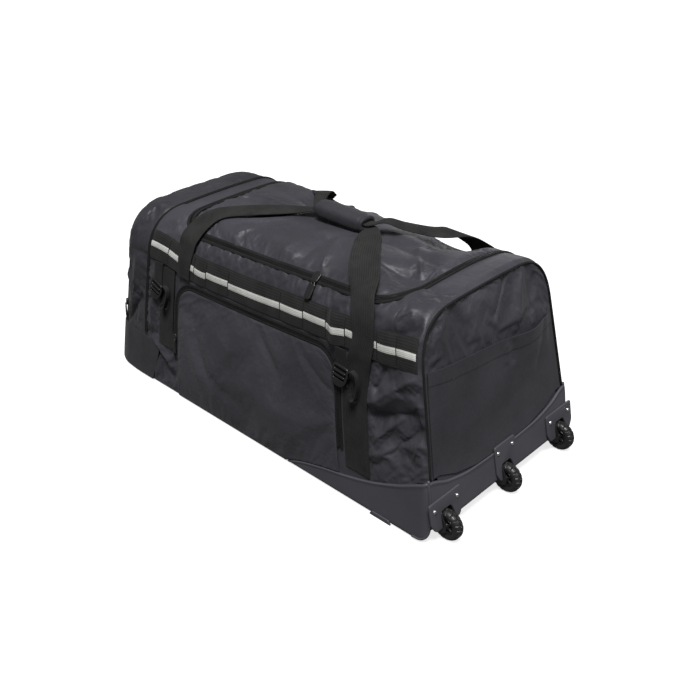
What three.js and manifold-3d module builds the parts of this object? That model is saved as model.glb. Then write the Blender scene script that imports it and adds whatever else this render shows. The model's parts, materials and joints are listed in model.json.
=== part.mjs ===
// A large wheeled sports bag: a soft tapered body on a moulded base, with three wheels at one end.
// Millimetres, +Z up, +X towards the wheels, -Y towards the pocketed front.
// The origin is on the floor, under the middle of the bag.
import * as THREE from 'three';
import { mergeVertices } from 'three/addons/utils/BufferGeometryUtils.js';
import Module from 'manifold-3d';

const wasm = await Module();
wasm.setup();

// Driving dimensions
const HALF_LENGTH = 485;
const WHEEL_RADIUS = 30;
const WHEEL_WIDTH = 20;
const WHEEL_SPACING = 179;
const LEFT = -HALF_LENGTH;
const RIGHT = HALF_LENGTH - WHEEL_RADIUS;
const LEFT_LEAN = 0.124;
const RIGHT_LEAN = 0.208;
const CORNER = 82;
const CLOTH = 2;
const WEBBING = 2.2;
const GAP = 0.3;
const SEAT = 0.9;
const BASE_WALL = 3;

// The girth runs from the front floor edge (0) over the top to the back floor edge.
const WALL_GIRTH = 320;
const ROLL_GIRTH = 115;
const FLAT_GIRTH = 100;
const HALF_GIRTH = WALL_GIRTH + ROLL_GIRTH + FLAT_GIRTH;
const FULL_GIRTH = 2 * HALF_GIRTH;

// Cross sections along the bag: half width at the floor and at the shoulder, height, crown, wall bulge
const SECTIONS = [
  { station: -485, foot: 184.6, shoulder: 146.8, height: 354, crown: 0, bulge: 0 },
  { station: -466, foot: 204.5, shoulder: 166.6, height: 367, crown: 3, bulge: 0 },
  { station: -429, foot: 217.1, shoulder: 179.3, height: 374, crown: 5, bulge: 0 },
  { station: -372, foot: 220.7, shoulder: 182.9, height: 376, crown: 6, bulge: 3 },
  { station: -15, foot: 220.7, shoulder: 182.9, height: 390, crown: 8, bulge: 6 },
  { station: 342, foot: 220.7, shoulder: 182.9, height: 405, crown: 6, bulge: 4 },
  { station: 440, foot: 220.7, shoulder: 182.9, height: 405, crown: 5, bulge: 0 },
  { station: 455, foot: 216.7, shoulder: 178.9, height: 402, crown: 4, bulge: 0 },
];

// Broad dents (negative) and puffs of the cloth, as soft ovals on the surface
const RELIEF = [
  { station: 250, girth: 665, along: 100, across: 60, height: -36 },
  { station: 20, girth: 655, along: 125, across: 60, height: -16 },
  { station: -120, girth: 690, along: 90, across: 50, height: -7 },
  { station: 130, girth: 455, along: 60, across: 45, height: 4 },
  { station: -150, girth: 470, along: 80, across: 40, height: -4 },
  { station: 280, girth: 480, along: 40, across: 60, height: -5 },
  { station: 365, girth: 215, along: 30, across: 50, height: -5 },
  { station: 412, girth: 225, along: 28, across: 45, height: 4 },
];

const COLOURS = {
  cloth: { color: 0x37373b, roughness: 0.62, metalness: 0 },
  webbing: { color: 0x262624, roughness: 0.8, metalness: 0 },
  base: { color: 0x323236, roughness: 0.5, metalness: 0 },
  plastic: { color: 0x1c1c1e, roughness: 0.45, metalness: 0 },
  tyre: { color: 0x161617, roughness: 0.8, metalness: 0 },
  reflective: { color: 0xc8c8c3, roughness: 0.5, metalness: 0 },
  steel: { color: 0xb9bbbd, roughness: 0.3, metalness: 1 },
};

const bag = new THREE.Group();

// Adds one named solid of the given finish.
function add(name, geometry, finish, parent = bag) {
  const mesh = new THREE.Mesh(geometry, new THREE.MeshStandardMaterial(COLOURS[finish]));
  mesh.name = name;
  parent.add(mesh);
  return mesh;
}

// Linear interpolation of one column of a table by another column.
function lookUp(table, by, at, column) {
  const last = table.length - 1;
  if (at <= table[0][by]) return table[0][column];
  if (at >= table[last][by]) return table[last][column];
  let i = 0;
  while (table[i + 1][by] < at) i += 1;
  const share = (at - table[i][by]) / (table[i + 1][by] - table[i][by]);
  return table[i][column] + share * (table[i + 1][column] - table[i][column]);
}

const mix = (a, b, share) => a + (b - a) * share;
const clamp01 = (value) => Math.min(1, Math.max(0, value));
const ease = (value) => clamp01(value) ** 2 * (3 - 2 * clamp01(value));

// The leaning end planes: x at a station and a height.
function xAt(station, z) {
  const share = (station - LEFT) / (RIGHT - LEFT);
  return mix(LEFT + LEFT_LEAN * z, RIGHT - RIGHT_LEAN * z, share);
}

function reliefAt(station, girth) {
  let height = 0;
  for (const oval of RELIEF) {
    const a = (station - oval.station) / oval.along;
    const b = (girth - oval.girth) / oval.across;
    height += oval.height * Math.exp(-(a * a + b * b));
  }
  return height;
}

// A point of the plain cross section: straight wall, rolled corner, crowned top.
function sectionPoint(station, girth) {
  const side = girth <= HALF_GIRTH ? -1 : 1;
  const g = side < 0 ? girth : FULL_GIRTH - girth;
  const value = (column) => lookUp(SECTIONS, 'station', station, column);
  const foot = value('foot');
  const shoulder = value('shoulder');
  const height = value('height');
  const length = Math.hypot(shoulder - foot, height);
  const wallY = mix(foot, shoulder, 1 - CORNER / length);
  const wallZ = height * (1 - CORNER / length);
  let y;
  let z;
  if (g <= WALL_GIRTH) {
    const share = g / WALL_GIRTH;
    y = mix(foot, wallY, share) + value('bulge') * Math.sin(Math.PI * share);
    z = mix(0, wallZ, share);
  } else if (g <= WALL_GIRTH + ROLL_GIRTH) {
    const t = (g - WALL_GIRTH) / ROLL_GIRTH;
    const flatY = shoulder - CORNER;
    y = wallY * (1 - t) ** 2 + shoulder * 2 * t * (1 - t) + flatY * t * t;
    z = wallZ * (1 - t) ** 2 + height * 2 * t * (1 - t) + height * t * t;
  } else {
    const t = (g - WALL_GIRTH - ROLL_GIRTH) / FLAT_GIRTH;
    y = (shoulder - CORNER) * (1 - t);
    z = height;
  }
  if (g > WALL_GIRTH) z += value('crown') * clamp01(1 - (y / shoulder) ** 2);
  return new THREE.Vector3(xAt(station, z), side * y, z);
}

// The outward normal of the cross sections.
function sectionNormal(station, girth) {
  const step = 2;
  const s0 = Math.max(LEFT, station - step);
  const s1 = Math.min(RIGHT, station + step);
  const g0 = Math.max(0, girth - step);
  const g1 = Math.min(FULL_GIRTH, girth + step);
  const along = sectionPoint(s1, girth).sub(sectionPoint(s0, girth));
  const across = sectionPoint(station, g1).sub(sectionPoint(station, g0));
  return along.cross(across).normalize();
}

// A point of the cloth's outer face, raised by lift.
function surface(station, girth, lift = 0) {
  const raise = lift + reliefAt(station, girth);
  return sectionPoint(station, girth).addScaledVector(sectionNormal(station, girth), raise);
}

// The girth at which a section's front wall reaches a height.
function girthAtHeight(station, z) {
  let low = 0;
  let high = HALF_GIRTH;
  for (let i = 0; i < 30; i += 1) {
    const middle = (low + high) / 2;
    if (sectionPoint(station, middle).z < z) low = middle;
    else high = middle;
  }
  return (low + high) / 2;
}

// Closes a grid of outer and inner points to one solid.
function closeGrid(outer, inner, columns, rows) {
  const positions = [];
  for (const point of [...outer, ...inner]) positions.push(point.x, point.y, point.z);
  const half = outer.length;
  const at = (i, j, face) => face * half + j * (columns + 1) + i;
  const index = [];
  const quad = (a, b, c, d) => index.push(a, b, c, a, c, d);
  for (let j = 0; j < rows; j += 1) {
    for (let i = 0; i < columns; i += 1) {
      quad(at(i, j, 0), at(i + 1, j, 0), at(i + 1, j + 1, 0), at(i, j + 1, 0));
      quad(at(i, j, 1), at(i, j + 1, 1), at(i + 1, j + 1, 1), at(i + 1, j, 1));
    }
  }
  for (let i = 0; i < columns; i += 1) {
    quad(at(i, 0, 0), at(i, 0, 1), at(i + 1, 0, 1), at(i + 1, 0, 0));
    quad(at(i, rows, 0), at(i + 1, rows, 0), at(i + 1, rows, 1), at(i, rows, 1));
  }
  for (let j = 0; j < rows; j += 1) {
    quad(at(0, j, 0), at(0, j + 1, 0), at(0, j + 1, 1), at(0, j, 1));
    quad(at(columns, j, 0), at(columns, j, 1), at(columns, j + 1, 1), at(columns, j + 1, 0));
  }
  const geometry = new THREE.BufferGeometry();
  geometry.setAttribute('position', new THREE.Float32BufferAttribute(positions, 3));
  geometry.setIndex(index);
  return faceOutward(geometry);
}

// Turns every triangle round when the enclosed volume comes out negative.
function faceOutward(geometry) {
  const p = geometry.getAttribute('position');
  const index = geometry.getIndex();
  const corners = [new THREE.Vector3(), new THREE.Vector3(), new THREE.Vector3()];
  let volume = 0;
  for (let i = 0; i < index.count; i += 3) {
    corners.forEach((corner, k) => corner.fromBufferAttribute(p, index.getX(i + k)));
    volume += corners[0].dot(corners[1].clone().cross(corners[2]));
  }
  if (volume < 0) {
    for (let i = 0; i < index.count; i += 3) {
      const swap = index.getX(i + 1);
      index.setX(i + 1, index.getX(i + 2));
      index.setX(i + 2, swap);
    }
  }
  geometry.computeVertexNormals();
  return geometry;
}

// Shares from 0 to 1: evenly spaced for a number, or in proportion to a rising list.
function shares(steps) {
  if (typeof steps === 'number') return Array.from({ length: steps + 1 }, (_, i) => i / steps);
  const first = steps[0];
  const span = steps[steps.length - 1] - first;
  return steps.map((value) => (value - first) / span);
}

// A sheet of cloth between two faces, each given as a point for shares s and t of the sheet.
function sheet(outerAt, innerAt, columns, rows) {
  const across = shares(columns);
  const along = shares(rows);
  const outer = [];
  const inner = [];
  for (const t of along) {
    for (const s of across) {
      outer.push(outerAt(s, t));
      inner.push(innerAt(s, t));
    }
  }
  return closeGrid(outer, inner, across.length - 1, along.length - 1);
}

// A sheet that lies on the bag: place(s, t) gives its station, girth and any extra lift.
function panel(place, lift, thickness, columns, rows) {
  const face = (raise) => (s, t) => {
    const at = place(s, t);
    return surface(at.station, at.girth, raise + (at.lift ?? 0));
  };
  return sheet(face(lift), face(lift - thickness), columns, rows);
}

// Booleans on closed meshes
function toManifold(geometry) {
  const bare = geometry.clone();
  for (const name of ['normal', 'uv']) bare.deleteAttribute(name);
  const merged = mergeVertices(bare, 1e-4);
  return new wasm.Manifold(new wasm.Mesh({
    numProp: 3,
    vertProperties: new Float32Array(merged.getAttribute('position').array),
    triVerts: new Uint32Array(merged.getIndex().array),
  }));
}

function fromManifold(solid) {
  const mesh = solid.getMesh();
  const geometry = new THREE.BufferGeometry();
  geometry.setAttribute('position', new THREE.Float32BufferAttribute(mesh.vertProperties, 3));
  geometry.setIndex(new THREE.Uint32BufferAttribute(mesh.triVerts, 1));
  geometry.computeVertexNormals();
  return geometry;
}

function box(x0, x1, y0, y1, z0, z1) {
  const geometry = new THREE.BoxGeometry(x1 - x0, y1 - y0, z1 - z0);
  return geometry.translate((x0 + x1) / 2, (y0 + y1) / 2, (z0 + z1) / 2);
}

// Lid outline: its front edge lies on the rolled edge, its back edge just past the back roll.
const LID_LEFT = -300;
const LID_RIGHT = 387;
const LID_FRONT = 384;
const LID_BACK = 706;
const LID_CORNER_ALONG = 95;
const LID_CORNER_ACROSS = 66;
const LEFT_SEAM = -363;
const RIGHT_SEAM = RIGHT;

// Station of the lid's edge at a girth, on the left (-1) or the right (1).
function lidEdge(girth, side) {
  const edge = side < 0 ? LID_LEFT : LID_RIGHT;
  const reach = clamp01((LID_FRONT + LID_CORNER_ACROSS - girth) / LID_CORNER_ACROSS);
  return edge - side * LID_CORNER_ALONG * (1 - Math.sqrt(1 - reach * reach));
}

// Girth of the lid's front edge at a station, level with the corner's end beyond the lid.
function lidFront(station) {
  const left = clamp01((LID_LEFT + LID_CORNER_ALONG - station) / LID_CORNER_ALONG);
  const right = clamp01((station - LID_RIGHT + LID_CORNER_ALONG) / LID_CORNER_ALONG);
  const reach = Math.max(left, right);
  return LID_FRONT + LID_CORNER_ACROSS * (1 - Math.sqrt(1 - reach * reach));
}

// Base: a floor plate, a wall round the wheel end, and a wing that tapers along each long side
const WING_TOP = [
  { station: 95, z: 4 },
  { station: 127, z: 19 },
  { station: 191, z: 37 },
  { station: 247, z: 49 },
  { station: 317, z: 68 },
  { station: 383, z: 93 },
  { station: 440, z: 119 },
  { station: 455, z: 125 },
];
const END_TOP = [
  { y: 0, z: 92 },
  { y: 90, z: 95 },
  { y: 150, z: 106 },
  { y: 200, z: 124 },
  { y: 217, z: 125 },
];
const BASE_IN = 0.7;
const BASE_OUT = BASE_IN + BASE_WALL;
const FLOOR_HALF = SECTIONS[4].foot + BASE_OUT;
const SKID_THICKNESS = 3;
const SKID_X = 338;
const SKID_HALF = 26;
const SKID_HEIGHT = 9;
const SKID_TAPER = 6;
const FOOT_CORNER = 34;
const RIM_CORNER = 12;
const RIM_HEIGHT = 110;
const WIDEST_STATION = 350;
const CLOTH_FOOT = BASE_WALL + 0.7;
const UPTURN_START = 395;
const UPTURN_HEIGHT = 30;
const UPTURN_HALF = 200;

// The base wall's outer face: share s runs along the front wing, round the end and back.
const WING_SHARE = 0.36;
const WING_STEPS = [0, 0.09, 0.27, 0.42, 0.62, 0.8, 0.9, 0.935, 0.97, 1];
const END_STEPS = [0.05, 0.1, 0.15, 0.3, 0.58, 0.8];
const BASE_STEPS = [
  ...WING_STEPS.map((along) => along * WING_SHARE),
  ...END_STEPS.map((across) => WING_SHARE + across * (0.5 - WING_SHARE)),
];
function basePath(s) {
  const side = s < 0.5 ? -1 : 1;
  const from = s < 0.5 ? s : 1 - s;
  const along = Math.min(1, from / WING_SHARE);
  const across = clamp01((from - WING_SHARE) / (0.5 - WING_SHARE));
  return { side, along, across };
}

function baseTop(s) {
  const { side, along, across } = basePath(s);
  if (across === 0) {
    const station = mix(WING_TOP[0].station, RIGHT, along);
    return lookUp(WING_TOP, 'station', station, 'z');
  }
  const y = mix(-side, 0, across) * sectionPoint(RIGHT, 100).y;
  return lookUp(END_TOP, 'y', Math.abs(y), 'z');
}

function baseWallPoint(s, z, lift) {
  const { side, along, across } = basePath(s);
  const girth = girthAtHeight(RIGHT, z);
  const round = mix(FOOT_CORNER, RIM_CORNER, clamp01(z / RIM_HEIGHT));
  const width = Math.abs(sectionPoint(WIDEST_STATION, girth).y) + lift;
  const end = xAt(RIGHT, z) + lift;
  const start = WING_TOP[0].station;
  if (across === 0) {
    const run = mix(start, end, along);
    const turn = clamp01((run - (end - round)) / round) * (Math.PI / 4);
    if (turn === 0) return new THREE.Vector3(run, side * width, z);
    const y = width - round * (1 - Math.cos(turn));
    return new THREE.Vector3(end - round + round * Math.sin(turn), side * y, z);
  }
  const reach = (1 - across) * width;
  const turn = clamp01((reach - (width - round)) / round) * (Math.PI / 4);
  const y = turn === 0 ? reach : width - round + round * Math.sin(turn);
  const x = turn === 0 ? end : end - round * (1 - Math.cos(turn));
  return new THREE.Vector3(x, side * y, z);
}

// The floor plate's outline: rounded at both ends.
function floorOutline() {
  const width = FLOOR_HALF;
  const leftWidth = SECTIONS[0].foot;
  const right = RIGHT + BASE_OUT;
  const outline = new THREE.Shape();
  outline.moveTo(LEFT, -leftWidth);
  outline.quadraticCurveTo(LEFT + 4, -width + 4, LEFT + 70, -width);
  outline.lineTo(right - FOOT_CORNER, -width);
  outline.absarc(right - FOOT_CORNER, -width + FOOT_CORNER, FOOT_CORNER, -Math.PI / 2, 0, false);
  outline.lineTo(right, width - FOOT_CORNER);
  outline.absarc(right - FOOT_CORNER, width - FOOT_CORNER, FOOT_CORNER, 0, Math.PI / 2, false);
  outline.lineTo(LEFT + 70, width);
  outline.quadraticCurveTo(LEFT + 4, width - 4, LEFT, leftWidth);
  return outline;
}

// Wheel wells: a housing lines each cut in the base
const AXLE_X = RIGHT;
const AXLE_Z = WHEEL_RADIUS;
const WELL_CLEARANCE = 4;
const WELL_RADIUS = WHEEL_RADIUS + WELL_CLEARANCE;
const WELL_HALF = WHEEL_WIDTH / 2 + WELL_CLEARANCE;
const WELL_WALL = 2.5;
const WELL_TOP = AXLE_Z + WELL_RADIUS;
const CUT_HALF = WELL_HALF + WELL_WALL + GAP;
const PLATE_THICKNESS = 4;
const WHEELS = [
  { name: '1', y: -WHEEL_SPACING, plateHalf: 43, plateTop: 88, rivetZ: 72, rivetHalf: 31 },
  { name: '2', y: 0, plateHalf: 31, plateTop: 104, rivetZ: 90, rivetHalf: 22 },
  { name: '3', y: WHEEL_SPACING, plateHalf: 43, plateTop: 88, rivetZ: 72, rivetHalf: 31 },
];
const PLATE_FOOT = UPTURN_HEIGHT + 1;
const PLATE_BEVEL = 9;
const CHEEK_REACH = 8;
const RIVET_PROFILE = [[0, 0], [4.2, 0], [3.4, 1.8], [0, 2.5]];

// A shape in the XZ plane pushed out along Y, from one side of the bag to the other
function slab(points, from, to) {
  const geometry = new THREE.ExtrudeGeometry(polygon(points), { depth: to - from, bevelEnabled: false });
  return toManifold(geometry.rotateX(Math.PI / 2).translate(0, to, 0));
}

// The underside slopes up to the wheels, so that they stand clear below the end wall.
function upturn(solid) {
  const start = UPTURN_START;
  const high = UPTURN_HEIGHT;
  const half = UPTURN_HALF;
  const edge = xAt(RIGHT, high) + BASE_OUT;
  const low = -BASE_WALL;
  const below = [[start, low], [HALF_LENGTH, low], [HALF_LENGTH, high], [edge, high], [start, 0]];
  const slope = [[start - 1, 0], [start, 0], [edge, high], [edge - 1, high + 4], [start - 1, BASE_WALL]];
  const side = [[start, 0], [edge + 3, 0], [edge - 1, high + 2], [edge - 4, high + 2], [start, BASE_WALL]];
  return solid.subtract(slab(below, -half, half))
    .add(slab(slope, -half - 1, half + 1))
    .add(slab(side, half, half + BASE_WALL))
    .add(slab(side, -half - BASE_WALL, -half));
}

function buildBase() {
  const face = (lift) => (s, t) => baseWallPoint(s, mix(0, baseTop(s), t), lift);
  const around = [...BASE_STEPS, ...BASE_STEPS.toReversed().map((s) => 1 - s)];
  const wall = toManifold(sheet(face(BASE_OUT), face(BASE_IN), around, 3));
  const plate = { depth: BASE_WALL, bevelEnabled: false, curveSegments: 3 };
  const floor = toManifold(new THREE.ExtrudeGeometry(floorOutline(), plate));
  const inside = AXLE_X - WELL_RADIUS - WELL_WALL - GAP;
  const cutTop = WELL_TOP + WELL_WALL + GAP;
  let solid = upturn(wall.add(floor));
  for (const wheel of WHEELS) {
    const well = box(inside, HALF_LENGTH, wheel.y - CUT_HALF, wheel.y + CUT_HALF, -BASE_WALL, cutTop);
    solid = solid.subtract(toManifold(well));
  }
  add('base_tub', fromManifold(solid), 'base');
  const skid = new THREE.Shape();
  skid.moveTo(-SKID_HALF, 0);
  skid.lineTo(SKID_HALF, 0);
  skid.lineTo(SKID_HALF - SKID_TAPER, SKID_HEIGHT);
  skid.lineTo(SKID_TAPER - SKID_HALF, SKID_HEIGHT);
  for (const [name, side] of [['front', -1], ['back', 1]]) {
    const foot = new THREE.ExtrudeGeometry(skid, { depth: SKID_THICKNESS, bevelEnabled: false });
    foot.rotateX(Math.PI / 2);
    foot.translate(SKID_X, side * (FLOOR_HALF + GAP) + (side < 0 ? 0 : SKID_THICKNESS), 0);
    add(`skid_foot_${name}`, foot, 'plastic');
  }
}

// Shapes drawn in a plane and pushed out along one axis
function polygon(points) {
  const shape = new THREE.Shape();
  points.forEach(([a, b], i) => (i === 0 ? shape.moveTo(a, b) : shape.lineTo(a, b)));
  return shape;
}

// A housing: a lining round the wheel's well with two cheeks that hold the axle, and the riveted plate
function buildHousing(wheel) {
  const back = AXLE_X - WELL_RADIUS - WELL_WALL;
  const front = AXLE_X + CHEEK_REACH;
  const top = WELL_TOP + WELL_WALL;
  const outside = WELL_HALF + WELL_WALL;
  const lean = Math.atan(RIGHT_LEAN);
  const plateX = (z) => xAt(RIGHT, z) + BASE_OUT + GAP;
  const depth = PLATE_THICKNESS / Math.cos(lean);
  const cheek = polygon([
    [back, 12], [AXLE_X - 14, AXLE_Z - 10], [AXLE_X + 2, AXLE_Z - 10], [front, AXLE_Z - 5],
    [front, AXLE_Z + 8], [plateX(top) + depth, top], [back, top],
  ]);
  const shell = new THREE.ExtrudeGeometry(cheek, { depth: 2 * outside, bevelEnabled: false });
  shell.rotateX(Math.PI / 2).translate(0, outside, 0);
  const high = (wheel.plateTop - PLATE_FOOT) / Math.cos(lean);
  const half = wheel.plateHalf;
  const plate = polygon([
    [half, 0], [half, high - PLATE_BEVEL], [half - PLATE_BEVEL, high],
    [PLATE_BEVEL - half, high], [-half, high - PLATE_BEVEL], [-half, 0],
  ]);
  const face = new THREE.ExtrudeGeometry(plate, { depth: PLATE_THICKNESS, bevelEnabled: false });
  face.rotateX(Math.PI / 2).rotateZ(Math.PI / 2).rotateY(-lean);
  face.translate(plateX(PLATE_FOOT), 0, PLATE_FOOT);
  const hollow = box(back + WELL_WALL, front + WELL_RADIUS, -WELL_HALF, WELL_HALF, -BASE_WALL, WELL_TOP);
  const solid = toManifold(shell).add(toManifold(face)).subtract(toManifold(hollow));
  add(`wheel_housing_${wheel.name}`, fromManifold(solid).translate(0, wheel.y, 0), 'base');
  for (const [end, side] of [['a', -1], ['b', 1]]) {
    const rivet = new THREE.LatheGeometry(RIVET_PROFILE.map((p) => new THREE.Vector2(...p)), 8);
    rivet.rotateZ(-Math.PI / 2);
    rivet.rotateY(-lean);
    rivet.translate(plateX(wheel.rivetZ) + depth + GAP, wheel.y + side * wheel.rivetHalf, wheel.rivetZ);
    add(`rivet_${wheel.name}${end}`, faceOutward(mergeBare(rivet)), 'steel');
  }
}

// A lathe's or an extrusion's mesh with its seam closed.
function mergeBare(geometry) {
  const bare = geometry.clone();
  for (const name of ['normal', 'uv']) bare.deleteAttribute(name);
  return mergeVertices(bare, 1e-4);
}

// Wheels: a knobbly tyre on a spoked hub, turning on a plain axle
const AXLE_RADIUS = 4;
const RUNNING_GAP = 0.35;
const HUB_RADIUS = 17;
const HUB_DEPTH = WHEEL_WIDTH - 4;
const SPOKE_HOLES = 5;
const SPOKE_HOLE_RADIUS = 3.4;
const SPOKE_HOLE_REACH = 10.8;
const SPOKE_HOLE_SIDES = 6;
const TREAD_STEPS = 24;
const TREAD_DEPTH = 2.2;
const TYRE_HALF = WHEEL_WIDTH / 2;
const TYRE_PROFILE = [
  { radius: HUB_RADIUS + GAP, y: 1 - TYRE_HALF, knob: false },
  { radius: 26, y: -TYRE_HALF, knob: false },
  { radius: WHEEL_RADIUS, y: -5.5, knob: true },
  { radius: WHEEL_RADIUS, y: -1.2, knob: true },
  { radius: WHEEL_RADIUS - TREAD_DEPTH, y: 0, knob: false },
  { radius: WHEEL_RADIUS, y: 1.2, knob: true },
  { radius: WHEEL_RADIUS, y: 5.5, knob: true },
  { radius: 26, y: TYRE_HALF, knob: false },
  { radius: HUB_RADIUS + GAP, y: TYRE_HALF - 1, knob: false },
];

function buildWheel(wheel) {
  const axleLength = 2 * (WELL_HALF - GAP);
  const group = new THREE.Group();
  group.position.set(AXLE_X, wheel.y, AXLE_Z);
  bag.add(group);
  const axle = new THREE.CylinderGeometry(AXLE_RADIUS, AXLE_RADIUS, axleLength, 10);
  add(`axle_${wheel.name}`, axle, 'steel', group);
  const hub = new THREE.Shape();
  hub.absarc(0, 0, HUB_RADIUS, 0, 2 * Math.PI, false);
  const bore = new THREE.Path();
  bore.absarc(0, 0, AXLE_RADIUS + RUNNING_GAP, 0, 2 * Math.PI, true);
  hub.holes.push(bore);
  for (let i = 0; i < SPOKE_HOLES; i += 1) {
    const angle = (2 * Math.PI * i) / SPOKE_HOLES;
    const middle = new THREE.Vector2(Math.cos(angle), Math.sin(angle)).multiplyScalar(SPOKE_HOLE_REACH);
    const corners = shares(SPOKE_HOLE_SIDES).slice(1).map((share) => {
      const turn = -2 * Math.PI * share;
      return new THREE.Vector2(Math.cos(turn), Math.sin(turn)).multiplyScalar(SPOKE_HOLE_RADIUS).add(middle);
    });
    hub.holes.push(new THREE.Path(corners));
  }
  const disc = new THREE.ExtrudeGeometry(hub, { depth: HUB_DEPTH, bevelEnabled: false, curveSegments: 6 });
  disc.translate(0, 0, -HUB_DEPTH / 2).rotateX(Math.PI / 2);
  add(`hub_${wheel.name}`, disc, 'plastic', group);
  add(`tyre_${wheel.name}`, tyre(), 'tyre', group);
}

// A ring of the profile whose knobs step in at every third place round it.
function tyre() {
  const positions = [];
  const index = [];
  const count = TYRE_PROFILE.length;
  for (let i = 0; i < TREAD_STEPS; i += 1) {
    const angle = (2 * Math.PI * i) / TREAD_STEPS;
    const low = i % 3 === 2;
    for (const { radius, y, knob } of TYRE_PROFILE) {
      const r = low && knob ? radius - TREAD_DEPTH : radius;
      positions.push(r * Math.cos(angle), y, r * Math.sin(angle));
    }
  }
  for (let i = 0; i < TREAD_STEPS; i += 1) {
    const next = (i + 1) % TREAD_STEPS;
    for (let k = 0; k < count; k += 1) {
      const k2 = (k + 1) % count;
      index.push(i * count + k, next * count + k, next * count + k2);
      index.push(i * count + k, next * count + k2, i * count + k2);
    }
  }
  const geometry = new THREE.BufferGeometry();
  geometry.setAttribute('position', new THREE.Float32BufferAttribute(positions, 3));
  geometry.setIndex(index);
  return faceOutward(geometry);
}

// Cloth walls
const FLOOR_GIRTH = girthAtHeight(-15, CLOTH_FOOT);
const TUCK = 12;
const TUCK_END = 425;
const LID_SEAM = 2;
const ROLL_KNOTS = [343, 366, 389, 412, 435];
const HALF_KNOTS = [FLOOR_GIRTH, 116, 218, WALL_GIRTH, ...ROLL_KNOTS, 485];
const BACK_KNOTS = HALF_KNOTS.toReversed().map((girth) => FULL_GIRTH - girth);
const GIRTH_KNOTS = [...HALF_KNOTS, HALF_GIRTH, ...BACK_KNOTS];

// Girth of a long wall's lower edge: on the floor plate, or tucked behind the base's wing.
function wallFoot(station) {
  if (station <= WING_TOP[0].station + 20) return FLOOR_GIRTH;
  const wing = lookUp(WING_TOP, 'station', station, 'z');
  const foot = station < TUCK_END ? wing - TUCK : wing + 1;
  return girthAtHeight(station, Math.max(CLOTH_FOOT, foot));
}

// Stations at which a lid corner's oval is sampled.
function cornerStations(edge, side) {
  const offsets = [0, 22.5, 45, 67.5, 90].map((angle) => 1 - Math.cos(THREE.MathUtils.degToRad(angle)));
  return offsets.map((offset) => edge - side * LID_CORNER_ALONG * offset);
}

const WALL_STATIONS = [
  LEFT_SEAM + GAP / 2, -330, ...cornerStations(LID_LEFT, -1),
  -165, -125, -85, -50, -15, 25, 65, 105, 140, 175, 210, 245,
  ...cornerStations(LID_RIGHT, 1).toReversed(), 405, TUCK_END, 440, RIGHT_SEAM,
];

function buildWalls() {
  const first = WALL_STATIONS[0];
  const front = (s, t) => {
    const station = mix(first, RIGHT_SEAM, s);
    const foot = wallFoot(station);
    const top = lidFront(station) - LID_SEAM;
    const wallRows = 3;
    const row = t * 9;
    if (row <= wallRows) return { station, girth: mix(foot, WALL_GIRTH, row / wallRows) };
    if (row <= 5) return { station, girth: mix(WALL_GIRTH, ROLL_KNOTS[1], (row - wallRows) / 2) };
    return { station, girth: mix(ROLL_KNOTS[1], top, (row - 5) / 4) };
  };
  add('front_panel', panel(front, 0, CLOTH, WALL_STATIONS, 9), 'cloth');
  const back = (s, t) => {
    const station = mix(first, RIGHT_SEAM, s);
    const foot = FULL_GIRTH - wallFoot(station);
    const roll = FULL_GIRTH - WALL_GIRTH;
    const row = t * 6;
    if (row <= 3) return { station, girth: mix(foot, roll, row / 3) };
    return { station, girth: mix(roll, LID_BACK + LID_SEAM, (row - 3) / 3) };
  };
  const backStations = [
    first, -300, -222, -140, -80, -15, 60, 130, 200, 260, 342, 385, TUCK_END, 440, RIGHT_SEAM,
  ];
  add('back_panel', panel(back, 0, CLOTH, backStations, 6), 'cloth');
  const gussetEnd = LEFT_SEAM - GAP / 2;
  const gusset = (s, t) => ({
    station: mix(GUSSET_START, gussetEnd, s),
    girth: mix(FLOOR_GIRTH, FULL_GIRTH - FLOOR_GIRTH, t),
  });
  const gussetStations = [GUSSET_START, -466, -429, -372, gussetEnd];
  add('left_gusset', panel(gusset, 0, CLOTH, gussetStations, GIRTH_KNOTS), 'cloth');
  const stripLow = LID_FRONT + LID_CORNER_ACROSS + GAP;
  const stripHigh = LID_BACK - LID_SEAM;
  const stripRows = [stripLow, HALF_GIRTH, 585, 635, 658, 681, stripHigh];
  const strips = [
    { name: 'left', stations: [first, -330, LID_LEFT - LID_SEAM] },
    { name: 'right', stations: [LID_RIGHT + LID_SEAM, 415, 440, RIGHT_SEAM] },
  ];
  for (const { name, stations } of strips) {
    const to = stations[stations.length - 1];
    const place = (s, t) => ({ station: mix(stations[0], to, s), girth: mix(stripLow, stripHigh, t) });
    add(`top_strip_${name}`, panel(place, 0, CLOTH, stations, stripRows), 'cloth');
  }
  const lidLow = LID_FRONT + LID_SEAM;
  const lid = (s, t) => {
    const girth = mix(lidLow, stripHigh, t);
    return { station: mix(lidEdge(girth, -1) + LID_SEAM, lidEdge(girth, 1) - LID_SEAM, s), girth };
  };
  const lidRows = [lidLow, 395, 410, 422, 435, 485, HALF_GIRTH, 585, 635, 658, 681, stripHigh];
  add('lid', panel(lid, 0, CLOTH, 14, lidRows), 'cloth');
}

// End walls: leaning panels inside the end sections' outline
const END_INSET = CLOTH + SEAT + 0.4;
const END_WRINKLES = 3;
const END_ROWS = [0, 0.25, 0.5, 0.7, 0.78, 0.86, 0.93, 1];
const LEFT_SWELL = 7;
const LEFT_RECESS = 8;
const GUSSET_START = LEFT + 7.5;

// Half width of an end section at a height.
function endHalfWidth(station, z) {
  return Math.abs(sectionPoint(station, girthAtHeight(station, z)).y);
}

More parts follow.
